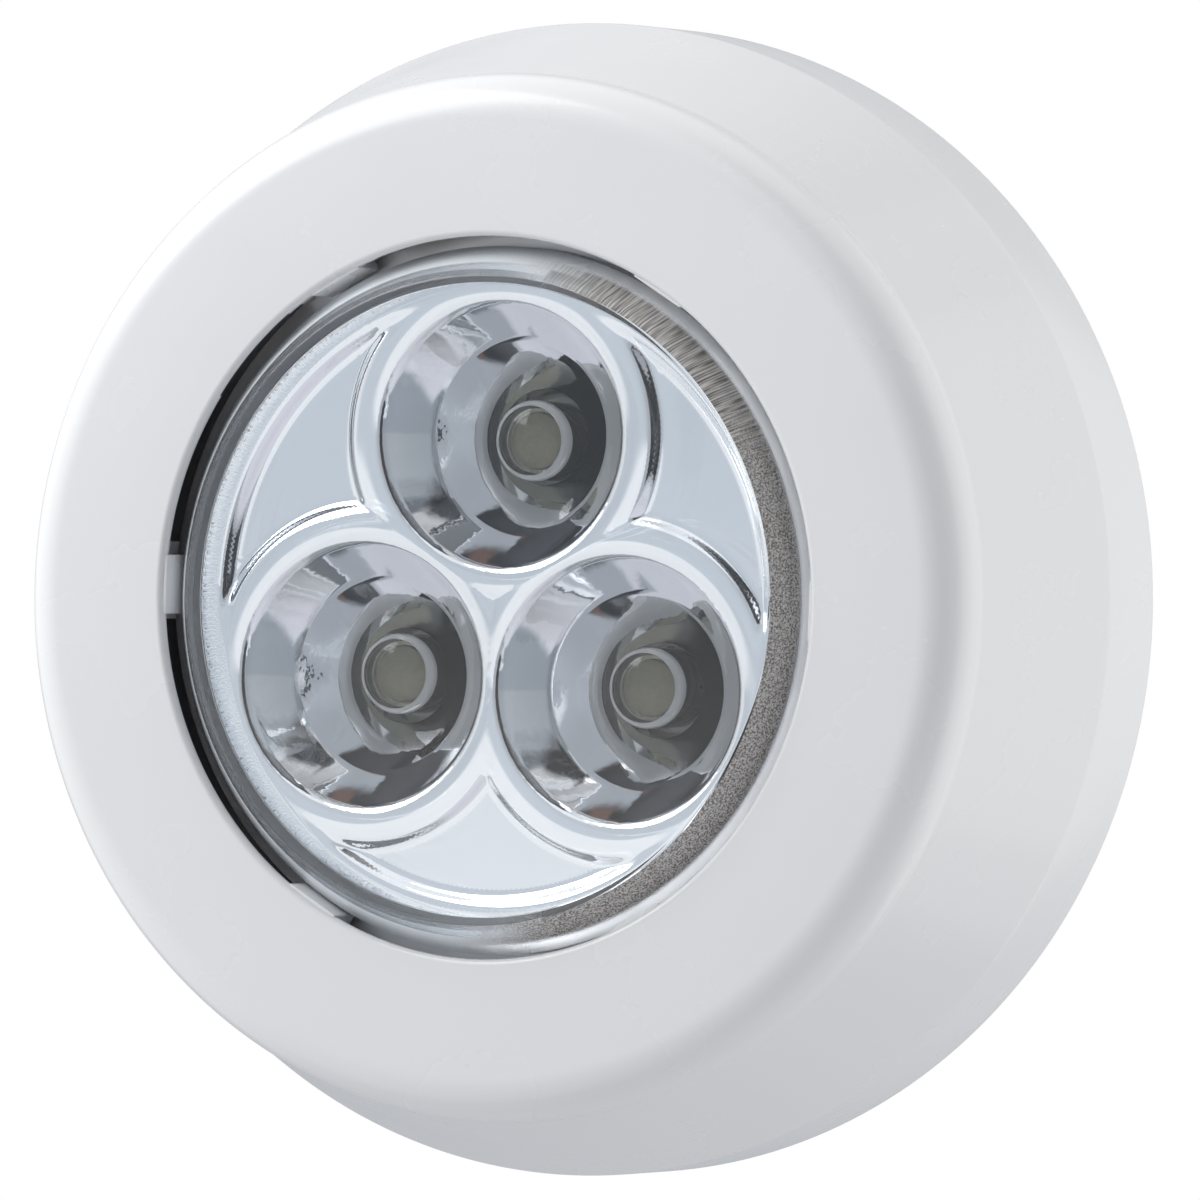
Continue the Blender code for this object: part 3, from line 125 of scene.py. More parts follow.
# %% [markdown]
# A small helper for node trees
#
# Materials, the world and Geometry Nodes are all trees of nodes. Wiring each link by hand is
# long, so Graph adds a node, sets its options and plugs its inputs in one line. An input can be a
# number, a vector or another node's output.

# %% Node helper


class Graph:
    """Builds one node tree."""

    def __init__(self, tree):
        self.tree = tree

    def plug(self, socket, value):
        if isinstance(value, bpy.types.NodeSocket):
            self.tree.links.new(value, socket)
        elif value is not None:
            socket.default_value = value

    def node(self, kind, inputs=None, **options):
        made = self.tree.nodes.new(kind)
        for option, value in options.items():
            setattr(made, option, value)
        for name, value in (inputs or {}).items():
            self.plug(made.inputs[name], value)
        return made

    def math(self, operation, *values):
        return self.node("ShaderNodeMath", dict(enumerate(values)), operation=operation).outputs[0]

    def vector_math(self, operation, *values):
        made = self.node("ShaderNodeVectorMath", dict(enumerate(values)), operation=operation)
        scalar = operation in ("DISTANCE", "LENGTH", "DOT_PRODUCT")
        return made.outputs["Value" if scalar else "Vector"]

    def between(self, value, low, high, start=0.0, end=1.0, shape="SMOOTHSTEP"):
        """Maps low..high to start..end."""
        inputs = {"Value": value, "From Min": low, "From Max": high, "To Min": start, "To Max": end}
        return self.node("ShaderNodeMapRange", inputs, interpolation_type=shape).outputs["Result"]

    def mix(self, factor, first, second):
        made = self.node("ShaderNodeMix", {0: factor, 6: first, 7: second}, data_type="RGBA")
        return made.outputs[2]


# %% [markdown]
# Studio
#
# The photograph's reflections show a large light on the left and a bit above, another to the right
# and a little behind, and white sheets round them. Ahead and to the right, where no sheet hangs,
# the room is dark. A mirror and a glossy shell show that room, so it is worth painting. Boxes
# round the lamp would do it, but the world's shader can paint it by direction, one soft-edged
# patch after another, with no geometry at all. The camera itself sees plain white behind the lamp.

# %% World
world = bpy.data.worlds.new("studio_tent")
bpy.context.scene.world = world
world.use_nodes = True
world.node_tree.nodes.clear()
room = Graph(world.node_tree)

WHITE = (1.0, 1.0, 1.0, 1.0)
TENT = (0.43, 0.45, 0.48, 1.0)
ROOM = {
    "front sheet": ((-28, 0), (30, 40), 0.30, (0.60, 0.645, 0.695, 1.0)),
    "white table": ((-30, -27), (36, 26.7), 0.035, (0.95, 0.96, 0.97, 1.0)),
    "left wall": ((-86, 10), (36, 50), 0.20, (0.98, 0.99, 1.0, 1.0)),
    "ceiling": ((-20, 82), (48, 44), 0.20, (1.04, 1.05, 1.07, 1.0)),
    "right wall": ((114, 5), (52, 50), 0.12, (1.05, 1.05, 1.05, 1.0)),
    "right table": ((72, -62), (22, 20), 0.04, (0.80, 0.81, 0.85, 1.0)),
    "far room": ((67, 7), (12, 46), 0.10, (0.24, 0.27, 0.30, 1.0)),
    "low room": ((35, -42), (24, 22), 0.05, (0.74, 0.73, 0.78, 1.0)),
    "open side": ((40, 30), (17, 46), 0.05, (0.010, 0.012, 0.016, 1.0)),
    "high sheet": ((88, 67), (12, 12), 0.03, (1.05, 1.05, 1.06, 1.0)),
    "brown corner": ((27, 12), (3, 5), 0.03, (0.16, 0.09, 0.07, 1.0)),
}

NEARLY_ZERO = 0.001
direction = room.node("ShaderNodeTexCoord").outputs["Generated"]


def aim(azimuth, elevation):
    """The direction of an azimuth and elevation in degrees; azimuth 0 is straight ahead."""
    azimuth, elevation = math.radians(azimuth), math.radians(elevation)
    level = math.cos(elevation)
    return Vector((math.sin(azimuth) * level, -math.cos(azimuth) * level, math.sin(elevation)))


def patch(centre, halves, softness):
    """1 inside a soft-edged rectangle of directions and 0 outside it, with angles in degrees."""
    ahead = aim(*centre)
    across = Vector((-ahead.y, ahead.x, 0)).normalized()
    above = ahead.cross(across)
    share = room.vector_math("DOT_PRODUCT", direction, ahead)
    inside = room.math("GREATER_THAN", share, 0.0)
    for axis, half in zip((across, above), halves):
        off = room.vector_math("DOT_PRODUCT", direction, axis)
        ahead_of = room.math("MAXIMUM", share, NEARLY_ZERO)
        slant = room.math("ABSOLUTE", room.math("DIVIDE", off, ahead_of))
        limit = math.tan(math.radians(half))
        edge = room.between(slant, limit - softness, limit + softness, 1.0, 0.0)
        inside = room.math("MULTIPLY", inside, edge)
    return inside


colour = TENT
for centre, halves, softness, paint in ROOM.values():
    colour = room.mix(patch(centre, halves, softness), colour, paint)
seen = room.node("ShaderNodeLightPath").outputs["Is Camera Ray"]
colour = room.mix(seen, colour, WHITE)
backdrop = room.node("ShaderNodeBackground", {"Color": colour, "Strength": 1.0})
room.node("ShaderNodeOutputWorld", {"Surface": backdrop.outputs[0]})
print("world: %d patches, %d nodes" % (len(ROOM), len(world.node_tree.nodes)))

# %% [markdown]
# Two area lights carry the main light. The left one hangs close, so the shell's face is brighter
# on its upper left than on its lower right, as in the photograph. The right one lifts the shell's
# side. Both aim at the lamp.

# %% Soft boxes


def soft_box(name, azimuth, elevation, distance, size, power):
    """A rectangular light that looks at the lamp from a direction in degrees."""
    light = bpy.data.lights.new(name, "AREA")
    light.shape = "RECTANGLE"
    light.size, light.size_y = size
    light.energy = power
    box = bpy.data.objects.new(name, light)
    box.location = distance * aim(azimuth, elevation)
    box.rotation_mode = "QUATERNION"
    box.rotation_quaternion = (-box.location).to_track_quat("-Z", "Y")
    bpy.context.scene.collection.objects.link(box)


soft_box("left_soft_box", -50, 40, 0.26, (0.17, 0.20), 0.375)
soft_box("right_soft_box", 110, 4, 0.60, (0.50, 0.90), 0.95)

# %% [markdown]
# The floor is a plain pale sheet just under the lamp, bright enough to melt into the white
# behind, as a product photograph's floor does. Only the camera sees it: the world's lower half
# lights the lamp from below, and the dark of the room still reaches the mirror.

# %% Floor
FLOOR_GAP = 0.0001
FLOOR_LEVEL = -BASE_RADIUS - FLOOR_GAP
FLOOR_SIZE = 12.0
floor_mesh = bpy.data.meshes.new("floor")
half = FLOOR_SIZE / 2
floor_mesh.from_pydata(
    [(-half, -half, FLOOR_LEVEL), (half, -half, FLOOR_LEVEL), (half, half, FLOOR_LEVEL),
     (-half, half, FLOOR_LEVEL)], [], [(0, 1, 2, 3)])
floor = bpy.data.objects.new("floor", floor_mesh)
bpy.context.scene.collection.objects.link(floor)
floor_finish = bpy.data.materials.new("pale_floor")
floor_finish.use_nodes = True
floor_finish.node_tree.nodes.clear()
sheet = Graph(floor_finish.node_tree)
seen = sheet.node("ShaderNodeLightPath").outputs["Is Camera Ray"]
clear = sheet.node("ShaderNodeBsdfTransparent")
glow = sheet.node("ShaderNodeEmission", {"Color": WHITE, "Strength": 1.0})
blend = sheet.node("ShaderNodeMixShader", {0: seen, 1: clear.outputs[0], 2: glow.outputs[0]})
sheet.node("ShaderNodeOutputMaterial", {"Surface": blend.outputs[0]})
floor_mesh.materials.append(floor_finish)
print("floor at %.2f mm" % (FLOOR_LEVEL * 1000))

# %% [markdown]
# Finishes
#
# Each finish is a Principled BSDF with a little tree in front of it. The numbers that are the
# same all over a surface sit on the shader's own sockets. What varies, such as the fine orange
# peel of moulded plastic, comes from noise on Object coordinates. Every piece sits at the
# world's origin with its place in its mesh, so Object coordinates are metres in the world, and a
# noise scale of 1000 gives grains of about a millimetre.

# %% Finish helper
CLOUD_LOW, CLOUD_HIGH = 0.3, 0.7
PEEL_HEIGHT = 0.0001
WEAR = 0.15


def finish(name, colour, roughness, peel=(900.0, 0.02), mottle=0.03, grain=120.0, **sockets):
    """A moulded or rolled surface: mottled colour, uneven gloss and a fine bump."""
    material = bpy.data.materials.new(name)
    material.use_nodes = True
    graph = Graph(material.node_tree)
    shader = material.node_tree.nodes["Principled BSDF"]
    place = graph.node("ShaderNodeTexCoord").outputs["Object"]
    cloud = graph.node("ShaderNodeTexNoise", {"Vector": place, "Scale": grain, "Detail": 4.0})
    tint = graph.between(
        cloud.outputs["Fac"], CLOUD_LOW, CLOUD_HIGH, 1 - mottle, 1 + mottle, "LINEAR")
    shade = graph.vector_math("SCALE", tuple(colour), None)
    graph.plug(shade.node.inputs["Scale"], tint)
    graph.plug(shader.inputs["Base Color"], shade)
    worn = graph.between(
        cloud.outputs["Fac"], CLOUD_LOW, CLOUD_HIGH,
        roughness * (1 - WEAR), roughness * (1 + WEAR), "LINEAR")
    graph.plug(shader.inputs["Roughness"], worn)
    skin = graph.node("ShaderNodeTexNoise", {"Vector": place, "Scale": peel[0], "Detail": 2.0})
    bump = graph.node("ShaderNodeBump", {
        "Height": skin.outputs["Fac"], "Strength": peel[1], "Distance": PEEL_HEIGHT})
    graph.plug(shader.inputs["Normal"], bump.outputs["Normal"])
    for socket, value in sockets.items():
        shader.inputs[socket.replace("_", " ")].default_value = value
    return material


# %% Visible finishes
white_plastic = finish(
    "white_plastic", (0.808, 0.810, 0.814), 0.26, peel=(700.0, 0.01), mottle=0.006,
    IOR=1.49, Coat_Weight=0.22, Coat_Roughness=0.10)
gap_shade = finish(
    "gap_shade", (0.035, 0.037, 0.040), 0.60, peel=(700.0, 0.01), mottle=0.02)
clear_plastic = finish(
    "clear_plastic", (0.97, 0.98, 0.99), 0.0, peel=(500.0, 0.004), mottle=0.004,
    IOR=1.49, Transmission_Weight=1.0)
mirror_coat = finish(
    "mirror_coat", (0.90, 0.92, 0.945), 0.025, peel=(260.0, 0.006), mottle=0.01, Metallic=1.0)
bowl_coat = finish(
    "bowl_coat", (0.88, 0.895, 0.915), 0.02, peel=(1100.0, 0.05), mottle=0.01, Metallic=1.0)
led_resin = finish(
    "led_resin", (0.97, 0.97, 0.93), 0.02, peel=(800.0, 0.003), mottle=0.01,
    IOR=1.53, Transmission_Weight=1.0)
print("finishes:", [material.name for material in bpy.data.materials])

# %% [markdown]
# Turned pieces
#
# The moulds of the shell and the clear cap are turned on a lathe, so both shapes are a profile
# spun round an axis. The Screw modifier does that, but here the rings are laid in a loop, which
# keeps the seam closed and lets the profile carry as many points as its roundings need. A corner
# is (radius, level, rounding).

# %% Lathe helper
RING_STEPS = 240
ARC_STEP = math.radians(6)
SHARP_CORNER = math.radians(35)
SAME_PLACE = 1e-7


def rounded(corners):
    """The corners' outline with each rounding cut into short arcs."""
    places = [Vector(corner[:2]) for corner in corners]
    outline = []
    for index, corner in enumerate(corners):
        here = places[index]
        if len(corner) < 3:
            outline.append(here)
            continue
        before = places[index - 1] - here
        after = places[(index + 1) % len(places)] - here
        half = before.angle(after) / 2
        reach = min(corner[2] / math.tan(half), before.length, after.length)
        radius = reach * math.tan(half)
        before.normalize()
        after.normalize()
        centre = here + (before + after).normalized() * (radius / math.sin(half))
        start, end = here + before * reach - centre, here + after * reach - centre
        sweep = math.atan2(start.x * end.y - start.y * end.x, start.dot(end))
        count = max(2, math.ceil(abs(sweep) / ARC_STEP))
        for step in range(count + 1):
            outline.append(centre + Matrix.Rotation(sweep * step / count, 2) @ start)
    return outline


def new_piece(name, mesh, body, *finishes):
    """Links a mesh that is already in place, and lets it ride on its body."""
    piece = bpy.data.objects.new(name, mesh)
    bpy.context.scene.collection.objects.link(piece)
    if finishes:
        mesh.materials.clear()
        for material in finishes:
            mesh.materials.append(material)
    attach(piece, body)
    print("%s: %d faces on %s" % (name, len(mesh.polygons), body))
    return piece


def lathe(name, corners, steps=RING_STEPS, centre=(0, 0)):
    """A closed outline spun round an axis through centre, standing in the world."""
    outline = rounded(corners)
    shape = bmesh.new()
    rings = []
    for point in outline:
        if point.x < SAME_PLACE:
            rings.append([shape.verts.new((0, 0, point.y))] * steps)
            continue
        rings.append([
            shape.verts.new((
                point.x * math.cos(math.tau * step / steps),
                point.x * math.sin(math.tau * step / steps), point.y))
            for step in range(steps)])
    for ring, following in zip(rings, rings[1:] + rings[:1]):
        for step in range(steps):
            after = (step + 1) % steps
            corners_of_face = []
            for vert in (ring[step], ring[after], following[after], following[step]):
                if vert not in corners_of_face:
                    corners_of_face.append(vert)
            if len(corners_of_face) > 2:
                shape.faces.new(corners_of_face)
    bmesh.ops.remove_doubles(shape, verts=shape.verts, dist=SAME_PLACE)
    bmesh.ops.recalc_face_normals(shape, faces=shape.faces)
    shape.transform(STAND @ Matrix.Translation((centre[0], centre[1], 0)))
    mesh = bpy.data.meshes.new(name)
    shape.to_mesh(mesh)
    shape.free()
    mesh.shade_smooth()
    mesh.set_sharp_from_angle(angle=SHARP_CORNER)
    return mesh


print("lathe: %d steps round" % RING_STEPS)

# %% [markdown]
# Housing
#
# The white shell has a short straight side, a gently narrowing cone, and a raised front tier with
# a soft edge. The tier's edge is the most telling shape on the lamp: it is rounded like a pebble,
# and a soft concave corner joins it to the cone. A cylinder with bevels could make it, but a
# turned profile gives each corner its own rounding. Behind a short lip the hole is undercut, and
# in some stretches between the guide ribs that wall is painted near-black: painted shade, because
# almost no light gets into the gap.

# %% Housing sizes
SIDE_HEIGHT = 0.0066
STEP_RADIUS = BASE_RADIUS - 0.0035
STEP_LEVEL = FACE_LEVEL - 0.0031
HOUSING_WALL = 0.0015
HOLE_RADIUS = 0.02165
COLLAR_WALL = 0.0014
COLLAR_LEVEL = FACE_LEVEL - 0.0034
HOLE_LIP = 0.0006
LIP_SLOPE = 0.0002
UNDERCUT = 0.0008
SHADED_ANGLES = ((42, 48), (59, 109), (127, 171), (183, 238))
INNER_FACE = FACE_LEVEL - HOUSING_WALL

# %% Housing shell
cone_lean = math.atan2(BASE_RADIUS - STEP_RADIUS, STEP_LEVEL - SIDE_HEIGHT)
inner_drop = HOUSING_WALL * math.tan(cone_lean / 2)
housing_corners = [
    (HOLE_RADIUS, FACE_LEVEL, 0.0004),
    (STEP_RADIUS, FACE_LEVEL, 0.0028),
    (STEP_RADIUS, STEP_LEVEL, 0.0010),
    (BASE_RADIUS, SIDE_HEIGHT, 0.0012),
    (BASE_RADIUS, 0, 0.0003),
    (BASE_RADIUS - HOUSING_WALL, 0),
    (BASE_RADIUS - HOUSING_WALL, SIDE_HEIGHT - inner_drop),
    (STEP_RADIUS - HOUSING_WALL, STEP_LEVEL - inner_drop),
    (STEP_RADIUS - HOUSING_WALL, INNER_FACE, 0.0013),
    (HOLE_RADIUS + COLLAR_WALL, INNER_FACE),
    (HOLE_RADIUS + COLLAR_WALL, COLLAR_LEVEL),
    (HOLE_RADIUS + UNDERCUT, COLLAR_LEVEL),
    (HOLE_RADIUS + UNDERCUT, FACE_LEVEL - HOLE_LIP - LIP_SLOPE),
    (HOLE_RADIUS, FACE_LEVEL - HOLE_LIP),
]
housing = new_piece(
    "housing_shell", lathe("housing_shell", housing_corners), "lamp_body",
    white_plastic, gap_shade)
# Undercut faces within SHADED_ANGLES get gap_shade: painted shade for the dark gap.
for face in housing.data.polygons:
    radius = math.hypot(face.center.x, face.center.z)
    level = -face.center.y - RIM_LEVEL
    angle = math.degrees(math.atan2(face.center.z, face.center.x)) % 360
    in_shade = any(start < angle < end for start, end in SHADED_ANGLES)
    in_hole = radius < HOLE_RADIUS + UNDERCUT * 1.1
    if in_shade and in_hole and level < FACE_LEVEL - HOLE_LIP + LIP_SLOPE / 2:
        face.material_index = 1
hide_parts("front_housing")

# %% [markdown]
# Repeats round the axis
#
# Diodes come in threes, guide ribs in sixes. An Array modifier with an offset object could turn
# them round the axis, but one Geometry Nodes tree serves them all: it puts points on a circle,
# turns each one outwards, sets a copy of the master mesh on it, makes the copies real and gives
# them their material. Its inputs are the count, the circle's radius, the first angle and the
# material.

# %% Repeat tree


def make_repeat_tree():
    """Sets copies of a mesh round the axis, facing outwards."""
    tree = bpy.data.node_groups.new("repeat_round_axis", "GeometryNodeTree")
    face = tree.interface
    face.new_socket("Geometry", in_out="INPUT", socket_type="NodeSocketGeometry")
    face.new_socket("Count", in_out="INPUT", socket_type="NodeSocketInt")
    face.new_socket("Pitch", in_out="INPUT", socket_type="NodeSocketFloat")
    face.new_socket("First Angle", in_out="INPUT", socket_type="NodeSocketFloat")
    face.new_socket("Finish", in_out="INPUT", socket_type="NodeSocketMaterial")
    face.new_socket("Geometry", in_out="OUTPUT", socket_type="NodeSocketGeometry")
    graph = Graph(tree)
    given = graph.node("NodeGroupInput").outputs
    points = graph.node("GeometryNodePoints", {"Count": given["Count"]})
    index = graph.node("GeometryNodeInputIndex").outputs[0]
    step = graph.math("DIVIDE", math.tau, given["Count"])
    angle = graph.math("ADD", graph.math("MULTIPLY", index, step), given["First Angle"])
    place = graph.node("ShaderNodeCombineXYZ", {
        "X": graph.math("MULTIPLY", graph.math("COSINE", angle), given["Pitch"]),
        "Y": graph.math("MULTIPLY", graph.math("SINE", angle), given["Pitch"])})
    turn = graph.node("ShaderNodeCombineXYZ", {"Z": angle})
    set_out = graph.node("GeometryNodeSetPosition", {
        "Geometry": points.outputs[0], "Position": place.outputs[0]})
    copies = graph.node("GeometryNodeInstanceOnPoints", {
        "Points": set_out.outputs[0], "Instance": given["Geometry"],
        "Rotation": turn.outputs[0]})
    real = graph.node("GeometryNodeRealizeInstances", {"Geometry": copies.outputs[0]})
    dressed = graph.node("GeometryNodeSetMaterial", {
        "Geometry": real.outputs[0], "Material": given["Finish"]})
    graph.node("NodeGroupOutput", {"Geometry": dressed.outputs[0]})
    return tree


repeat_tree = make_repeat_tree()
print("repeat tree: %d nodes" % len(repeat_tree.nodes))

# %% [markdown]
# A modifier is live: it is worked out again each time the scene changes. The pieces of this model
# have to be plain meshes, so a tree is run once on its master mesh, and the result is kept. The
# button sits a little lower than the lamp's middle, so it has a stand of its own.

# %% From tree to plain mesh
BUTTON_STAND = STAND @ Matrix.Translation((0, -BUTTON_DROP, 0))


def plain_mesh(name, master, tree, settings, place=STAND):
    """Runs a Geometry Nodes tree on a master mesh and returns the result as a plain mesh."""
    holder = bpy.data.objects.new(name, master)
    bpy.context.scene.collection.objects.link(holder)
    modifier = holder.modifiers.new(name, "NODES")
    modifier.node_group = tree
    for item in tree.interface.items_tree:
        if item.name in settings:
            modifier[item.identifier] = settings[item.name]
    bpy.context.view_layer.update()
    evaluated = holder.evaluated_get(bpy.context.evaluated_depsgraph_get())
    mesh = bpy.data.meshes.new_from_object(evaluated)
    holder.modifiers.remove(modifier)
    bpy.data.objects.remove(holder)
    mesh.name = name
    mesh.transform(place)
    return mesh


print("the button is %.2f mm below the lamp's middle" % (BUTTON_DROP * 1000))

# %% [markdown]
# Guide ribs
#
# Six low ribs inside the housing's collar centre the button. They show as pale tabs in the dark
# gap. They could be cut with the shell, but one small block with softened edges, repeated by the
# tree, keeps the shell a plain turned form.

# %% Guide ribs
RIB_HEIGHT = 0.00018
RIB_WIDTH = 0.0036
RIB_LENGTH = 0.0027
RIB_FOOT = 0.0004
RIB_ROUNDING = 0.00007
RIB_COUNT = 6
RIB_TURN = math.radians(57.6)

rib = bmesh.new()
bmesh.ops.create_cube(rib, size=1)
bmesh.ops.scale(rib, verts=rib.verts, vec=(RIB_HEIGHT + UNDERCUT, RIB_WIDTH, RIB_LENGTH))
bmesh.ops.translate(rib, verts=rib.verts, vec=(
    (UNDERCUT - RIB_HEIGHT) / 2, 0, COLLAR_LEVEL + RIB_LENGTH / 2 + RIB_FOOT))
bmesh.ops.bevel(
    rib, geom=rib.edges[:], offset=RIB_ROUNDING, segments=2, profile=0.5, affect="EDGES")
rib_master = bpy.data.meshes.new("rib_master")
rib.to_mesh(rib_master)
rib.free()
rib_mesh = plain_mesh("guide_ribs", rib_master, repeat_tree, {
    "Count": RIB_COUNT, "Pitch": HOLE_RADIUS, "First Angle": RIB_TURN, "Finish": white_plastic})
ribs = new_piece("guide_ribs", rib_mesh, "lamp_body")

# %% [markdown]
# Clear cap
#
# The button's cap is clear plastic with a flat face just proud of the shell. Its tapered side has
# grains on the right and is plain elsewhere, and a pale skirt carries it down into the housing.
# Where the side is not clear, the plain part is painted pale: painted light that stands in for the
# light seen in the real clear wall. One turned piece could do for cap and skirt, but a frosted
# surface behind clear plastic gets little light and looks black, so face and skirt are two pieces.
# Light that gets inside the real cap's wall is scattered back out of it; the cap's foot, its inner
# side on the right and the skirt stand in for that with a silvery metal finish, a painted sheen.
# The grain and the painted pale part are set by their position on the side.

# %% Cap sizes
LENS_RADIUS = 0.02125
TAPER_RADIUS = LENS_RADIUS - 0.00145
TAPER_LEVEL = LENS_LEVEL - 0.0004
TAPER_FOOT = level_of("reflector")
TAPER_WALL = 0.0008
LENS_WALL = 0.0013
ROUGH_RADIUS = 0.02065
ROUGH_FADE = 0.00015
CLEAR_RADIUS = 0.02020
CLEAR_FADE = 0.0001
FLANGE_RADIUS = reach_of("button_lens")
FLANGE_LEVEL = level_of("button_lens", front=False)
FLANGE_TOP = FLANGE_LEVEL + 0.0011
FACE_ROUNDING = 0.0003
FLANGE_ROUNDING = 0.0002
print("cap: face at %.2f mm, foot at %.2f mm" % (LENS_LEVEL * 1000, TAPER_FOOT * 1000))

# %% Cap's side
GRAIN_SCALE = 9000.0
LINES_ROUND = 160.0
LINES_ACROSS = 500.0
SPECK_LOW, SPECK_HIGH = 0.36, 0.64
SIDE_TURN = 0.1


def cap_side(name, dark, pale, plain):
    """The cap's side: grains on the right and brushed lines on the upper right, with a clear band
    at the foot; elsewhere clear near the face and painted pale towards the foot, painted light for
    the lit clear wall.
    """
    material = bpy.data.materials.new(name)
    material.use_nodes = True
    graph = Graph(material.node_tree)
    place = graph.node("ShaderNodeTexCoord").outputs["Object"]
    axes = graph.node("ShaderNodeSeparateXYZ", {"Vector": place}).outputs
    height = graph.math("ADD", axes["Z"], BUTTON_DROP)
    angle = graph.math("ARCTAN2", height, axes["X"])
    squares = graph.math(
        "ADD", graph.math("MULTIPLY", height, height),
        graph.math("MULTIPLY", axes["X"], axes["X"]))
    radius = graph.math("SQRT", squares)
    grains = graph.node(
        "ShaderNodeTexNoise", {"Vector": place, "Scale": GRAIN_SCALE, "Detail": 3.0})
    spokes = graph.node("ShaderNodeCombineXYZ", {
        "X": graph.math("MULTIPLY", angle, LINES_ROUND),
        "Y": graph.math("MULTIPLY", radius, LINES_ACROSS)})
    brushed = graph.node(
        "ShaderNodeTexNoise", {"Vector": spokes.outputs[0], "Scale": 1.0, "Detail": 3.0})
    upper_right = graph.math(
        "MULTIPLY", graph.between(angle, 0.25, 0.7), graph.between(angle, 1.2, 1.7, 1.0, 0.0))
    speck = graph.mix(upper_right, grains.outputs["Color"], brushed.outputs["Color"])
    speck = graph.node("ShaderNodeSeparateColor", {"Color": speck}).outputs["Red"]
    speck = graph.between(speck, SPECK_LOW, SPECK_HIGH)
    skin = graph.node("ShaderNodeBump", {"Height": speck, "Strength": 0.2, "Distance": 0.00005})
    rough_side = graph.math("COSINE", graph.math("ADD", angle, SIDE_TURN))
    rough_side = graph.between(rough_side, -0.05, 0.35)
    within = graph.between(
        radius, ROUGH_RADIUS - ROUGH_FADE, ROUGH_RADIUS + ROUGH_FADE, 1.0, 0.0)
    near_face = graph.between(
        radius, CLEAR_RADIUS - CLEAR_FADE, CLEAR_RADIUS + CLEAR_FADE, 1.0, 0.0)
    clear_below = graph.math("MULTIPLY", rough_side, graph.math("SUBTRACT", 1.0, within))
    clear_above = graph.math("MULTIPLY", graph.math("SUBTRACT", 1.0, rough_side), near_face)
    clear_part = graph.math("ADD", clear_below, clear_above)
    rough_side = graph.math("MULTIPLY", rough_side, within)
    # Where the side is not clear, the plain colour is painted pale: painted light for the lit clear
    # wall. The right side's grain is its own texture.
    speckled = graph.mix(speck, dark, pale)
    shader = material.node_tree.nodes["Principled BSDF"]
    graph.plug(shader.inputs["Base Color"], graph.mix(rough_side, plain, speckled))
    graph.plug(shader.inputs["Normal"], skin.outputs["Normal"])
    graph.plug(shader.inputs["Transmission Weight"], clear_part)
    graph.plug(shader.inputs["Roughness"], graph.between(clear_part, 0.0, 1.0, 0.2, 0.0, "LINEAR"))
    shader.inputs["IOR"].default_value = 1.49
    return material


frosted_side_painted_light = cap_side(
    "frosted_side_painted_light", (0.18, 0.165, 0.15, 1.0), (0.66, 0.64, 0.62, 1.0), (0.88, 0.92, 0.96, 1.0))
# Silvery metal on the cap's foot, its inner side on the right and the skirt: a painted sheen
# standing in for light scattered out of the clear wall.
frosted_foot_painted_sheen = finish(
    "frosted_foot_painted_sheen", (0.94, 0.94, 0.95), 0.42, peel=(2500.0, 0.10), Metallic=1.0)

# %% Clear cap
lens_mesh = lathe("clear_cap", [
    (0, LENS_LEVEL),
    (TAPER_RADIUS - 0.0004, LENS_LEVEL, FACE_ROUNDING),
    (TAPER_RADIUS, TAPER_LEVEL, FACE_ROUNDING),
    (LENS_RADIUS, TAPER_FOOT),
    (LENS_RADIUS - LENS_WALL, TAPER_FOOT),
    (TAPER_RADIUS - TAPER_WALL, LENS_LEVEL - LENS_WALL, 0.0002),
    (0, LENS_LEVEL - LENS_WALL),
], centre=(0, -BUTTON_DROP))
lens = new_piece(
    "clear_cap", lens_mesh, "push_unit", clear_plastic, frosted_side_painted_light, frosted_foot_painted_sheen)
# Index 2, the painted sheen, goes on the foot's back face and the inner side on the right; index 1,
# the side with grain and painted pale, on the outer side.
for face in lens_mesh.polygons:
    spoke = Vector((face.center.x, 0, face.center.z + BUTTON_DROP)).normalized()
    outward = face.normal.dot(spoke)
    if face.normal.y > 0.9 and face.center.y > -TAPER_FOOT - RIM_LEVEL - 0.0001:
        face.material_index = 2
    elif outward > 0.6:
        face.material_index = 1
    elif outward < -0.6 and spoke.x > 0.2:
        face.material_index = 2
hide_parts("button_lens")

# %% Cap's skirt
skirt_top = TAPER_FOOT - 0.00002
skirt = new_piece("cap_skirt", lathe("cap_skirt", [
    (LENS_RADIUS, skirt_top),
    (LENS_RADIUS, FLANGE_TOP),
    (FLANGE_RADIUS, FLANGE_TOP, FLANGE_ROUNDING),
    (FLANGE_RADIUS, FLANGE_LEVEL, FLANGE_ROUNDING),
    (LENS_RADIUS - LENS_WALL, FLANGE_LEVEL),
    (LENS_RADIUS - LENS_WALL, skirt_top),
], centre=(0, -BUTTON_DROP)), "push_unit", frosted_foot_painted_sheen)

# %% [markdown]
# Reflector
#
# A bright-plated plate sits just behind the cap. Its relief follows a rule: three round bowls, a
# raised border round each one, a raised edge, and three sunken panels between them. It could be
# sculpted or cut with booleans, but a mirror shows every uneven face. So a flat plate is
# triangulated first, with circles of points where the relief bends, and Geometry Nodes then lifts
# each point by the rule. The bowls' rings are spun below it and share the plate's rim.

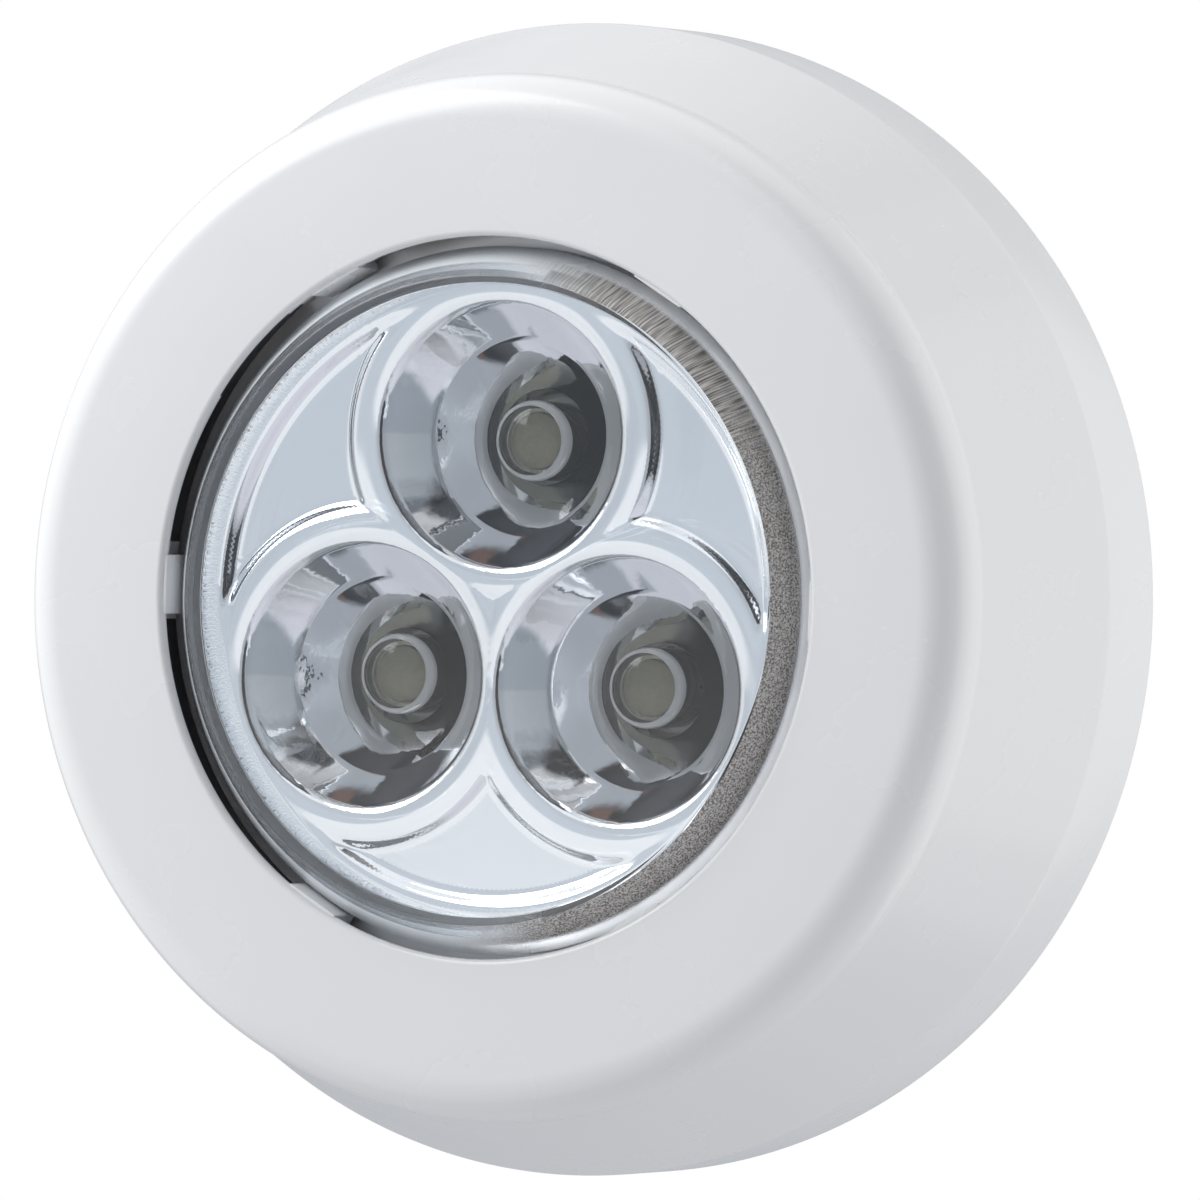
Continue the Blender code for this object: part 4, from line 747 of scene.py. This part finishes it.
# %% Reflector sizes
REFLECTOR_RADIUS = reach_of("reflector")
REFLECTOR_RIM = level_of("reflector")
BOWL_COUNT = 3
BOWL_PITCH = 0.0099
BOWL_RIM = 0.0080
BOWL_FLOOR = 0.0029
BOWL_DEPTH = 0.0080
WALL_BULGE = 0.12
CREASE_RADIUS = 0.0058
CREASE_DEPTH = 0.0024
DISH_BOTTOM = 0.0058
DISH_TOP_SLOPE = 1.34
BOWL_STEPS = 120
WALL_RINGS = 8
DISH_RINGS = 20
PATTERN_TURN = math.radians(87)
BORDER = 0.00185
CREST = 0.00095
CROWN = 0.00012
ROLL = 0.00030
ROLL_DROP = 0.00010
EDGE_RADIUS = 0.01845
EDGE_SLOPE = 0.00085
EDGE_CREST = 0.0190
EDGE_DROP = -0.00010
PANEL_DEPTH = 0.00045
PANEL_SLOPE = 0.0007
PLATE_WALL = 0.0005
BOWL_CORNER = math.radians(16)
PLATE_CORNER = math.radians(55)
print("reflector: %.2f mm across" % (REFLECTOR_RADIUS * 2000))


# %% Circles of points


def bowl_centre(index):
    angle = PATTERN_TURN + index * math.tau / BOWL_COUNT
    return Vector((math.cos(angle), math.sin(angle))) * BOWL_PITCH


def circle(centre, radius, count, turn=0.0):
    """Points round a centre; turn sets the first one on its way, so that rows interlock."""
    return [
        Vector((
            centre[0] + radius * math.cos(turn + math.tau * step / count),
            centre[1] + radius * math.sin(turn + math.tau * step / count)))
        for step in range(count)]


def clear_of_bowls(point, gap):
    return all((point - bowl_centre(index)).length > BOWL_RIM + gap for index in range(BOWL_COUNT))


plate_points, plate_edges = [], []


def add_loop(points):
    first = len(plate_points)
    plate_points.extend(points)
    count = len(points)
    plate_edges.extend((first + step, first + (step + 1) % count) for step in range(count))


add_loop(circle((0, 0), REFLECTOR_RADIUS, RING_STEPS))
for index in range(BOWL_COUNT):
    add_loop(circle(bowl_centre(index), BOWL_RIM, BOWL_STEPS))
print("plate outlines: %d points" % len(plate_points))

# %% [markdown]
# The points are dense where the plate bends, so that smooth shading has no long thin faces to
# spread a bend over. Rows of them follow each bowl and the outer edge until the relief is flat
# again, and a plain lattice fills the rest. A Delaunay triangulation then joins them all.

# %% Points of the plate
FINE = 0.00012
FINE_ROWS = 26
FINE_STEPS = 170
FINE_TURN = 0.02
EDGE_ROWS = 22
EDGE_STEPS = 330
EDGE_TURN = 0.01
LATTICE_STEP = 0.00036
LATTICE_LIFT = 0.00064
LATTICE_ROWS = 60
for row in range(1, FINE_ROWS):
    for index in range(BOWL_COUNT):
        radius = BOWL_RIM + row * FINE
        for point in circle(bowl_centre(index), radius, FINE_STEPS, row * FINE_TURN):
            nearest = min(
                (point - bowl_centre(other)).length
                for other in range(BOWL_COUNT) if other != index)
            own = (point - bowl_centre(index)).length
            if nearest > own - FINE / 4 and point.length < REFLECTOR_RADIUS - FINE / 2:
                plate_points.append(point)
for row in range(1, EDGE_ROWS):
    for point in circle((0, 0), REFLECTOR_RADIUS - row * FINE, EDGE_STEPS, row * EDGE_TURN):
        if clear_of_bowls(point, (FINE_ROWS - 0.5) * FINE):
            plate_points.append(point)
for row in range(1, LATTICE_ROWS):
    for step in range(-LATTICE_ROWS, LATTICE_ROWS):
        point = Vector((
            step * LATTICE_STEP + (row % 2) * LATTICE_STEP / 2,
            (row - LATTICE_ROWS / 2) * LATTICE_LIFT))
        inside = point.length < REFLECTOR_RADIUS - (EDGE_ROWS - 0.5) * FINE
        if inside and clear_of_bowls(point, (FINE_ROWS - 0.5) * FINE):
            plate_points.append(point)

print("plate points: %d" % len(plate_points))

# %% Flat plate
flat = geometry.delaunay_2d_cdt(plate_points, plate_edges, [], 0, SAME_PLACE)
shape = bmesh.new()
verts = [shape.verts.new((point.x, point.y, 0)) for point in flat[0]]
for triangle in flat[2]:
    centre = sum((flat[0][corner] for corner in triangle), Vector((0, 0))) / 3
    if clear_of_bowls(centre, 0) and centre.length < REFLECTOR_RADIUS:
        shape.faces.new([verts[corner] for corner in triangle])
loose = [vert for vert in shape.verts if not vert.link_faces]
bmesh.ops.delete(shape, geom=loose, context="VERTS")
print("flat plate: %d triangles" % len(shape.faces))

# %% [markdown]
# Each bowl has two parts: a steep wall under its rim, and below a sharp crease a round dish that
# falls to the diode. A list of radii and depths holds both, and each ring of points is joined to
# the one above it.

# %% Bowls below the plate
bowl_rows = []
for row in range(1, WALL_RINGS + 1):
    share = row / WALL_RINGS
    bowl_rows.append((
        BOWL_RIM + (CREASE_RADIUS - BOWL_RIM) * share,
        CREASE_DEPTH * share * (1 + WALL_BULGE - WALL_BULGE * share)))
DISH_WIDTH = CREASE_RADIUS - BOWL_FLOOR
first_fall = DISH_TOP_SLOPE * DISH_WIDTH
second_fall = DISH_BOTTOM - CREASE_DEPTH - first_fall
for row in range(1, DISH_RINGS + 1):
    share = row / DISH_RINGS
    bowl_rows.append((
        CREASE_RADIUS - DISH_WIDTH * share,
        CREASE_DEPTH + first_fall * share + second_fall * share * share))
bowl_rows.append((BOWL_FLOOR, BOWL_DEPTH))

for index in range(BOWL_COUNT):
    middle = bowl_centre(index)
    rim = [
        vert for vert in shape.verts
        if abs((vert.co.xy - middle).length - BOWL_RIM) < SAME_PLACE * 10 and vert.co.z == 0]
    rim.sort(key=lambda vert: math.atan2(vert.co.y - middle.y, vert.co.x - middle.x))
    ring = rim
    for radius, drop in bowl_rows:
        below = []
        for vert in ring:
            spoke = (vert.co.xy - middle).normalized() * radius
            below.append(shape.verts.new((*(middle + spoke), -drop)))
        for step in range(len(ring)):
            after = (step + 1) % len(ring)
            shape.faces.new((ring[step], below[step], below[after], ring[after]))
        ring = below
bmesh.ops.recalc_face_normals(shape, faces=shape.faces)
up_faces = sum(1 if face.normal.z > 0 else -1 for face in shape.faces)
if up_faces < 0:
    bmesh.ops.reverse_faces(shape, faces=shape.faces)
plate = bpy.data.meshes.new("reflector_plate")
shape.to_mesh(plate)
shape.free()
print("plate with bowls: %d faces" % len(plate.polygons))

# %% [markdown]
# The relief is one height for each place on the plate. The tree measures how far a point is from
# the nearest bowl and from the middle, turns both into smooth steps, and sinks the point. All its
# sizes are named inputs, so the same tree could make a shallower or a deeper plate.

# %% Relief tree
RELIEF = {
    "Rim Level": REFLECTOR_RIM, "Bowl Rim": BOWL_RIM, "Border": BORDER, "Crest": CREST,
    "Crown": CROWN, "Roll": ROLL, "Roll Drop": ROLL_DROP, "Slope": PANEL_SLOPE,
    "Panel Depth": PANEL_DEPTH, "Edge": EDGE_RADIUS, "Edge Slope": EDGE_SLOPE,
    "Edge Crest": EDGE_CREST, "Edge Drop": EDGE_DROP, "Plate Radius": REFLECTOR_RADIUS,
}


def make_relief_tree():
    """Lifts a flat plate's points by the rule of borders, edge and panels."""
    tree = bpy.data.node_groups.new("reflector_relief", "GeometryNodeTree")
    face = tree.interface
    face.new_socket("Geometry", in_out="INPUT", socket_type="NodeSocketGeometry")
    for name in RELIEF:
        face.new_socket(name, in_out="INPUT", socket_type="NodeSocketFloat")
    face.new_socket("Finish", in_out="INPUT", socket_type="NodeSocketMaterial")
    face.new_socket("Geometry", in_out="OUTPUT", socket_type="NodeSocketGeometry")
    graph = Graph(tree)
    given = graph.node("NodeGroupInput").outputs
    place = graph.node("GeometryNodeInputPosition").outputs[0]
    axes = graph.node("ShaderNodeSeparateXYZ", {"Vector": place}).outputs
    flat_place = graph.node("ShaderNodeCombineXYZ", {"X": axes["X"], "Y": axes["Y"]}).outputs[0]
    distance = None
    for index in range(BOWL_COUNT):
        away = graph.vector_math("DISTANCE", flat_place, (*bowl_centre(index), 0))
        distance = away if distance is None else graph.math("MINIMUM", distance, away)
    out = graph.math("SUBTRACT", distance, given["Bowl Rim"])
    radius = graph.vector_math("LENGTH", flat_place)
    off_border = graph.between(
        out, given["Border"], graph.math("ADD", given["Border"], given["Slope"]))
    off_edge = graph.between(
        radius, graph.math("SUBTRACT", given["Edge"], given["Edge Slope"]), given["Edge"], 1.0, 0.0)
    panel = graph.math("MULTIPLY", off_border, off_edge)

    def bulge(value, crest, reach, drop):
        """A parabola that drops away on both sides of a crest."""
        off = graph.math("DIVIDE", graph.math("SUBTRACT", value, crest), reach)
        return graph.math("MULTIPLY", graph.math("MULTIPLY", off, off), drop)

    on_border = graph.math("MINIMUM", graph.math("MAXIMUM", out, 0.0), given["Border"])
    crown = bulge(on_border, given["Crest"], given["Crest"], given["Crown"])
    crown = graph.math("MULTIPLY", crown, off_edge)
    rolled = graph.math("SUBTRACT", given["Roll"], graph.math("MAXIMUM", out, 0.0))
    rolled = bulge(graph.math("MAXIMUM", rolled, 0.0), 0.0, given["Roll"], given["Roll Drop"])
    outer = graph.math("MAXIMUM", radius, given["Edge Crest"])
    reach = graph.math("SUBTRACT", given["Plate Radius"], given["Edge Crest"])
    outer = bulge(outer, given["Edge Crest"], reach, given["Edge Drop"])
    drop = graph.math("MULTIPLY", panel, given["Panel Depth"])
    for part in (crown, rolled, outer):
        drop = graph.math("ADD", drop, part)
    lift = graph.math("SUBTRACT", given["Rim Level"], drop)
    offset = graph.node("ShaderNodeCombineXYZ", {"Z": lift})
    moved = graph.node("GeometryNodeSetPosition", {
        "Geometry": given["Geometry"], "Offset": offset.outputs[0]})
    real = graph.node("GeometryNodeRealizeInstances", {"Geometry": moved.outputs[0]})
    dressed = graph.node("GeometryNodeSetMaterial", {
        "Geometry": real.outputs[0], "Material": given["Finish"]})
    graph.node("NodeGroupOutput", {"Geometry": dressed.outputs[0]})
    return tree


relief_tree = make_relief_tree()
print("relief tree: %d nodes" % len(relief_tree.nodes))

# %% [markdown]
# The lifted plate gets a wall, and the bowls a bumpier plating than the plate. Smooth shading
# needs to know which edges are sharp: in the bowls those of more than a few degrees, such as the
# crease, but on the plate only the cut edge, because a sharp edge in a mirror's bend shows as
# beads.

# %% Reflector
reflector_mesh = plain_mesh(
    "bright_reflector", plate, relief_tree, {**RELIEF, "Finish": mirror_coat}, Matrix())
reflector_mesh.materials.append(bowl_coat)
for face in reflector_mesh.polygons:
    face.material_index = 0 if clear_of_bowls(face.center.xy, 0) else 1

shape = bmesh.new()
shape.from_mesh(reflector_mesh)
bmesh.ops.solidify(shape, geom=shape.faces[:], thickness=PLATE_WALL)
bmesh.ops.recalc_face_normals(shape, faces=shape.faces)
for face in shape.faces:
    face.smooth = True
for edge in shape.edges:
    in_bowl = any(face.material_index for face in edge.link_faces)
    edge.smooth = edge.calc_face_angle(0) < (BOWL_CORNER if in_bowl else PLATE_CORNER)
shape.transform(BUTTON_STAND)
shape.to_mesh(reflector_mesh)
shape.free()
reflector = new_piece("bright_reflector", reflector_mesh, "push_unit")
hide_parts("reflector")

# %% [markdown]
# Light-emitting diodes
#
# Each bowl holds a clear resin body with a flat, round-edged front. Round its front edge sits a
# thin, half-clear pale ring: a painted highlight, where the real edge catches the light. Inside it
# a small silvery cup carries the pale yellow phosphor. They could be placed by hand, but the same
# repeat tree sets three of each, so that they stay alike.

# %% Diode sizes
LED_PITCH = 0.00965
LED_RADIUS = 0.0024
LED_TIP = level_of("led_top")
LED_FOOT = LED_TIP - 0.0048
COLLAR_REACH = 0.0003
COLLAR_HEIGHT = 0.0005
HIGHLIGHT_RING_PROUD = 0.00004
PHOSPHOR_RADIUS = 0.0016
print("diodes: %.1f mm wide" % (LED_RADIUS * 2000))

# %% Diode helpers


def lying_lathe(name, corners, steps=64):
    """A turned mesh that is still lying down, as a master for the repeat tree."""
    mesh = lathe(name, corners, steps)
    mesh.transform(STAND.inverted())
    return mesh


def three_in_bowls(name, corners, material, nodes=()):
    """One turned piece in each bowl."""
    master = lying_lathe(name + "_master", corners)
    settings = {
        "Count": BOWL_COUNT, "Pitch": LED_PITCH, "First Angle": PATTERN_TURN, "Finish": material}
    mesh = plain_mesh(name, master, repeat_tree, settings, BUTTON_STAND)
    piece = new_piece(name, mesh, "push_unit")
    if nodes:
        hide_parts(*nodes)
    return piece


# %% Diodes
phosphor = finish(
    "phosphor", (0.42, 0.395, 0.27), 0.55, peel=(4000.0, 0.3), mottle=0.08, grain=2500.0)
cup_silver = finish("cup_silver", (0.16, 0.155, 0.12), 0.12, peel=(2500.0, 0.05), Metallic=1.0)

three_in_bowls("led_bodies", [
    (0, LED_TIP), (0.0010, LED_TIP - 0.00008), (LED_RADIUS, LED_TIP - 0.00045, 0.0006),
    (LED_RADIUS, LED_FOOT + COLLAR_HEIGHT),
    (LED_RADIUS + COLLAR_REACH, LED_FOOT + COLLAR_HEIGHT),
    (LED_RADIUS + COLLAR_REACH, LED_FOOT), (0, LED_FOOT),
], led_resin, ("led_top", "led_left", "led_right"))
# A half-clear pale ring round each diode's front edge: a painted highlight.
painted_edge_highlight = finish(
    "painted_edge_highlight", (0.92, 0.94, 0.95), 0.06, peel=(800.0, 0.01), mottle=0.02,
    IOR=1.53, Transmission_Weight=0.45)
three_in_bowls("led_edge_highlights", [
    (LED_RADIUS - 0.00030, LED_TIP - 0.00004), (LED_RADIUS - 0.00008, LED_TIP - 0.00016),
    (LED_RADIUS + HIGHLIGHT_RING_PROUD, LED_TIP - 0.00042), (LED_RADIUS + HIGHLIGHT_RING_PROUD, LED_TIP - 0.0009),
    (LED_RADIUS + 0.00001, LED_TIP - 0.0009), (LED_RADIUS + 0.00001, LED_TIP - 0.00045),
    (LED_RADIUS - 0.00012, LED_TIP - 0.00020),
], painted_edge_highlight)
three_in_bowls("led_cups", [
    (0, LED_TIP - 0.0017), (0.0017, LED_TIP - 0.0017), (0.00175, LED_TIP - 0.0013),
    (0.00185, LED_TIP - 0.0013), (0.00185, LED_FOOT + 0.0012), (0, LED_FOOT + 0.0012),
], cup_silver)
three_in_bowls("led_phosphors", [
    (0, LED_TIP - 0.0012), (PHOSPHOR_RADIUS, LED_TIP - 0.00145, 0.0001),
    (PHOSPHOR_RADIUS, LED_TIP - 0.0016), (0, LED_TIP - 0.0016),
], phosphor)

# %% [markdown]
# Pieces that stay
#
# The pieces behind the reflector, the cover and its pad keep their CAD meshes, which have the
# right shapes. They could be modelled again, but nothing of them shows except at the back, so
# each only gets a finish of its own.

# %% Inner finishes
CARRIED = {
    "zinc_steel": ((0.66, 0.67, 0.69), 0.30, dict(Metallic=1.0)),
    "nickel_strip": ((0.76, 0.75, 0.71), 0.25, dict(Metallic=1.0)),
    "spring_steel": ((0.62, 0.62, 0.63), 0.28, dict(Metallic=1.0)),
    "board_laminate": ((0.80, 0.80, 0.74), 0.42, {}),
    "cell_sleeve": ((0.07, 0.08, 0.10), 0.28, dict(Coat_Weight=0.5)),
    "grey_plastic": ((0.60, 0.61, 0.62), 0.42, {}),
    "black_plastic": ((0.03, 0.03, 0.03), 0.38, {}),
    "white_foam": ((0.83, 0.82, 0.78), 0.90, {}),
    "resistor_body": ((0.66, 0.52, 0.34), 0.42, {}),
    "red_sleeve": ((0.55, 0.03, 0.03), 0.38, {}),
    "black_sleeve": ((0.02, 0.02, 0.02), 0.38, {}),
    "yellow_sleeve": ((0.72, 0.56, 0.05), 0.38, {}),
}
carried = {name: finish(name, colour, roughness, **sockets)
           for name, (colour, roughness, sockets) in CARRIED.items()}
carried["white_plastic"] = white_plastic

NODE_FINISHES = {
    "back_cover": "white_plastic", "adhesive_pad": "white_foam", "battery_chassis": "grey_plastic",
    "led_board": "board_laminate", "resistor": "resistor_body",
    "push_switch_body": "black_plastic", "push_switch_plunger": "white_plastic",
    "push_switch_spring": "spring_steel", "positive_terminal": "nickel_strip",
    "negative_terminal": "nickel_strip", "series_contact": "nickel_strip",
    "battery_cell": "cell_sleeve", "contact_spring": "spring_steel",
    "chassis_screw": "zinc_steel", "board_screw": "zinc_steel",
    "wire_cell_to_switch": "red_sleeve", "wire_cell_to_board": "black_sleeve",
    "wire_switch_to_board": "yellow_sleeve",
}
dressed = 0
for node, thing in frame["nodes"].items():
    kind = node.rstrip("_0123456789")
    if kind in NODE_FINISHES:
        thing.data.materials.clear()
        thing.data.materials.append(carried[NODE_FINISHES[kind]])
        dressed += 1
print("CAD nodes with a finish of their own:", dressed, "of", len(frame["nodes"]))

# %% [markdown]
# Pieces that give way
#
# The switch's spring and two short leads reach from a piece that stands still to one that is
# pushed in with the button. A blend between the two bodies would do for a lead, and a spring's
# coils close up evenly; here each of the three is a merged copy of its CAD node, riding on the
# lamp's body. The record says which nodes give way.

# %% Spring and leads
GIVING = {
    "push_switch_spring": "switch_spring", "wire_cell_to_board": "black_lead",
    "wire_switch_to_board": "yellow_lead",
}


def giving_copy(node):
    """A merged copy of a CAD node that rides on the lamp's body in the node's place."""
    shape = bmesh.new()
    shape.from_mesh(frame["nodes"][node].data)
    bmesh.ops.remove_doubles(shape, verts=shape.verts, dist=SAME_PLACE)
    mesh = bpy.data.meshes.new(GIVING[node])
    shape.to_mesh(mesh)
    shape.free()
    piece = new_piece(GIVING[node], mesh, "lamp_body", carried[NODE_FINISHES[node]])
    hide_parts(node)
    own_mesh(piece)


for joint in frame["joints"]:
    for row in joint.get("deforming_nodes", []):
        giving_copy(row["node"])
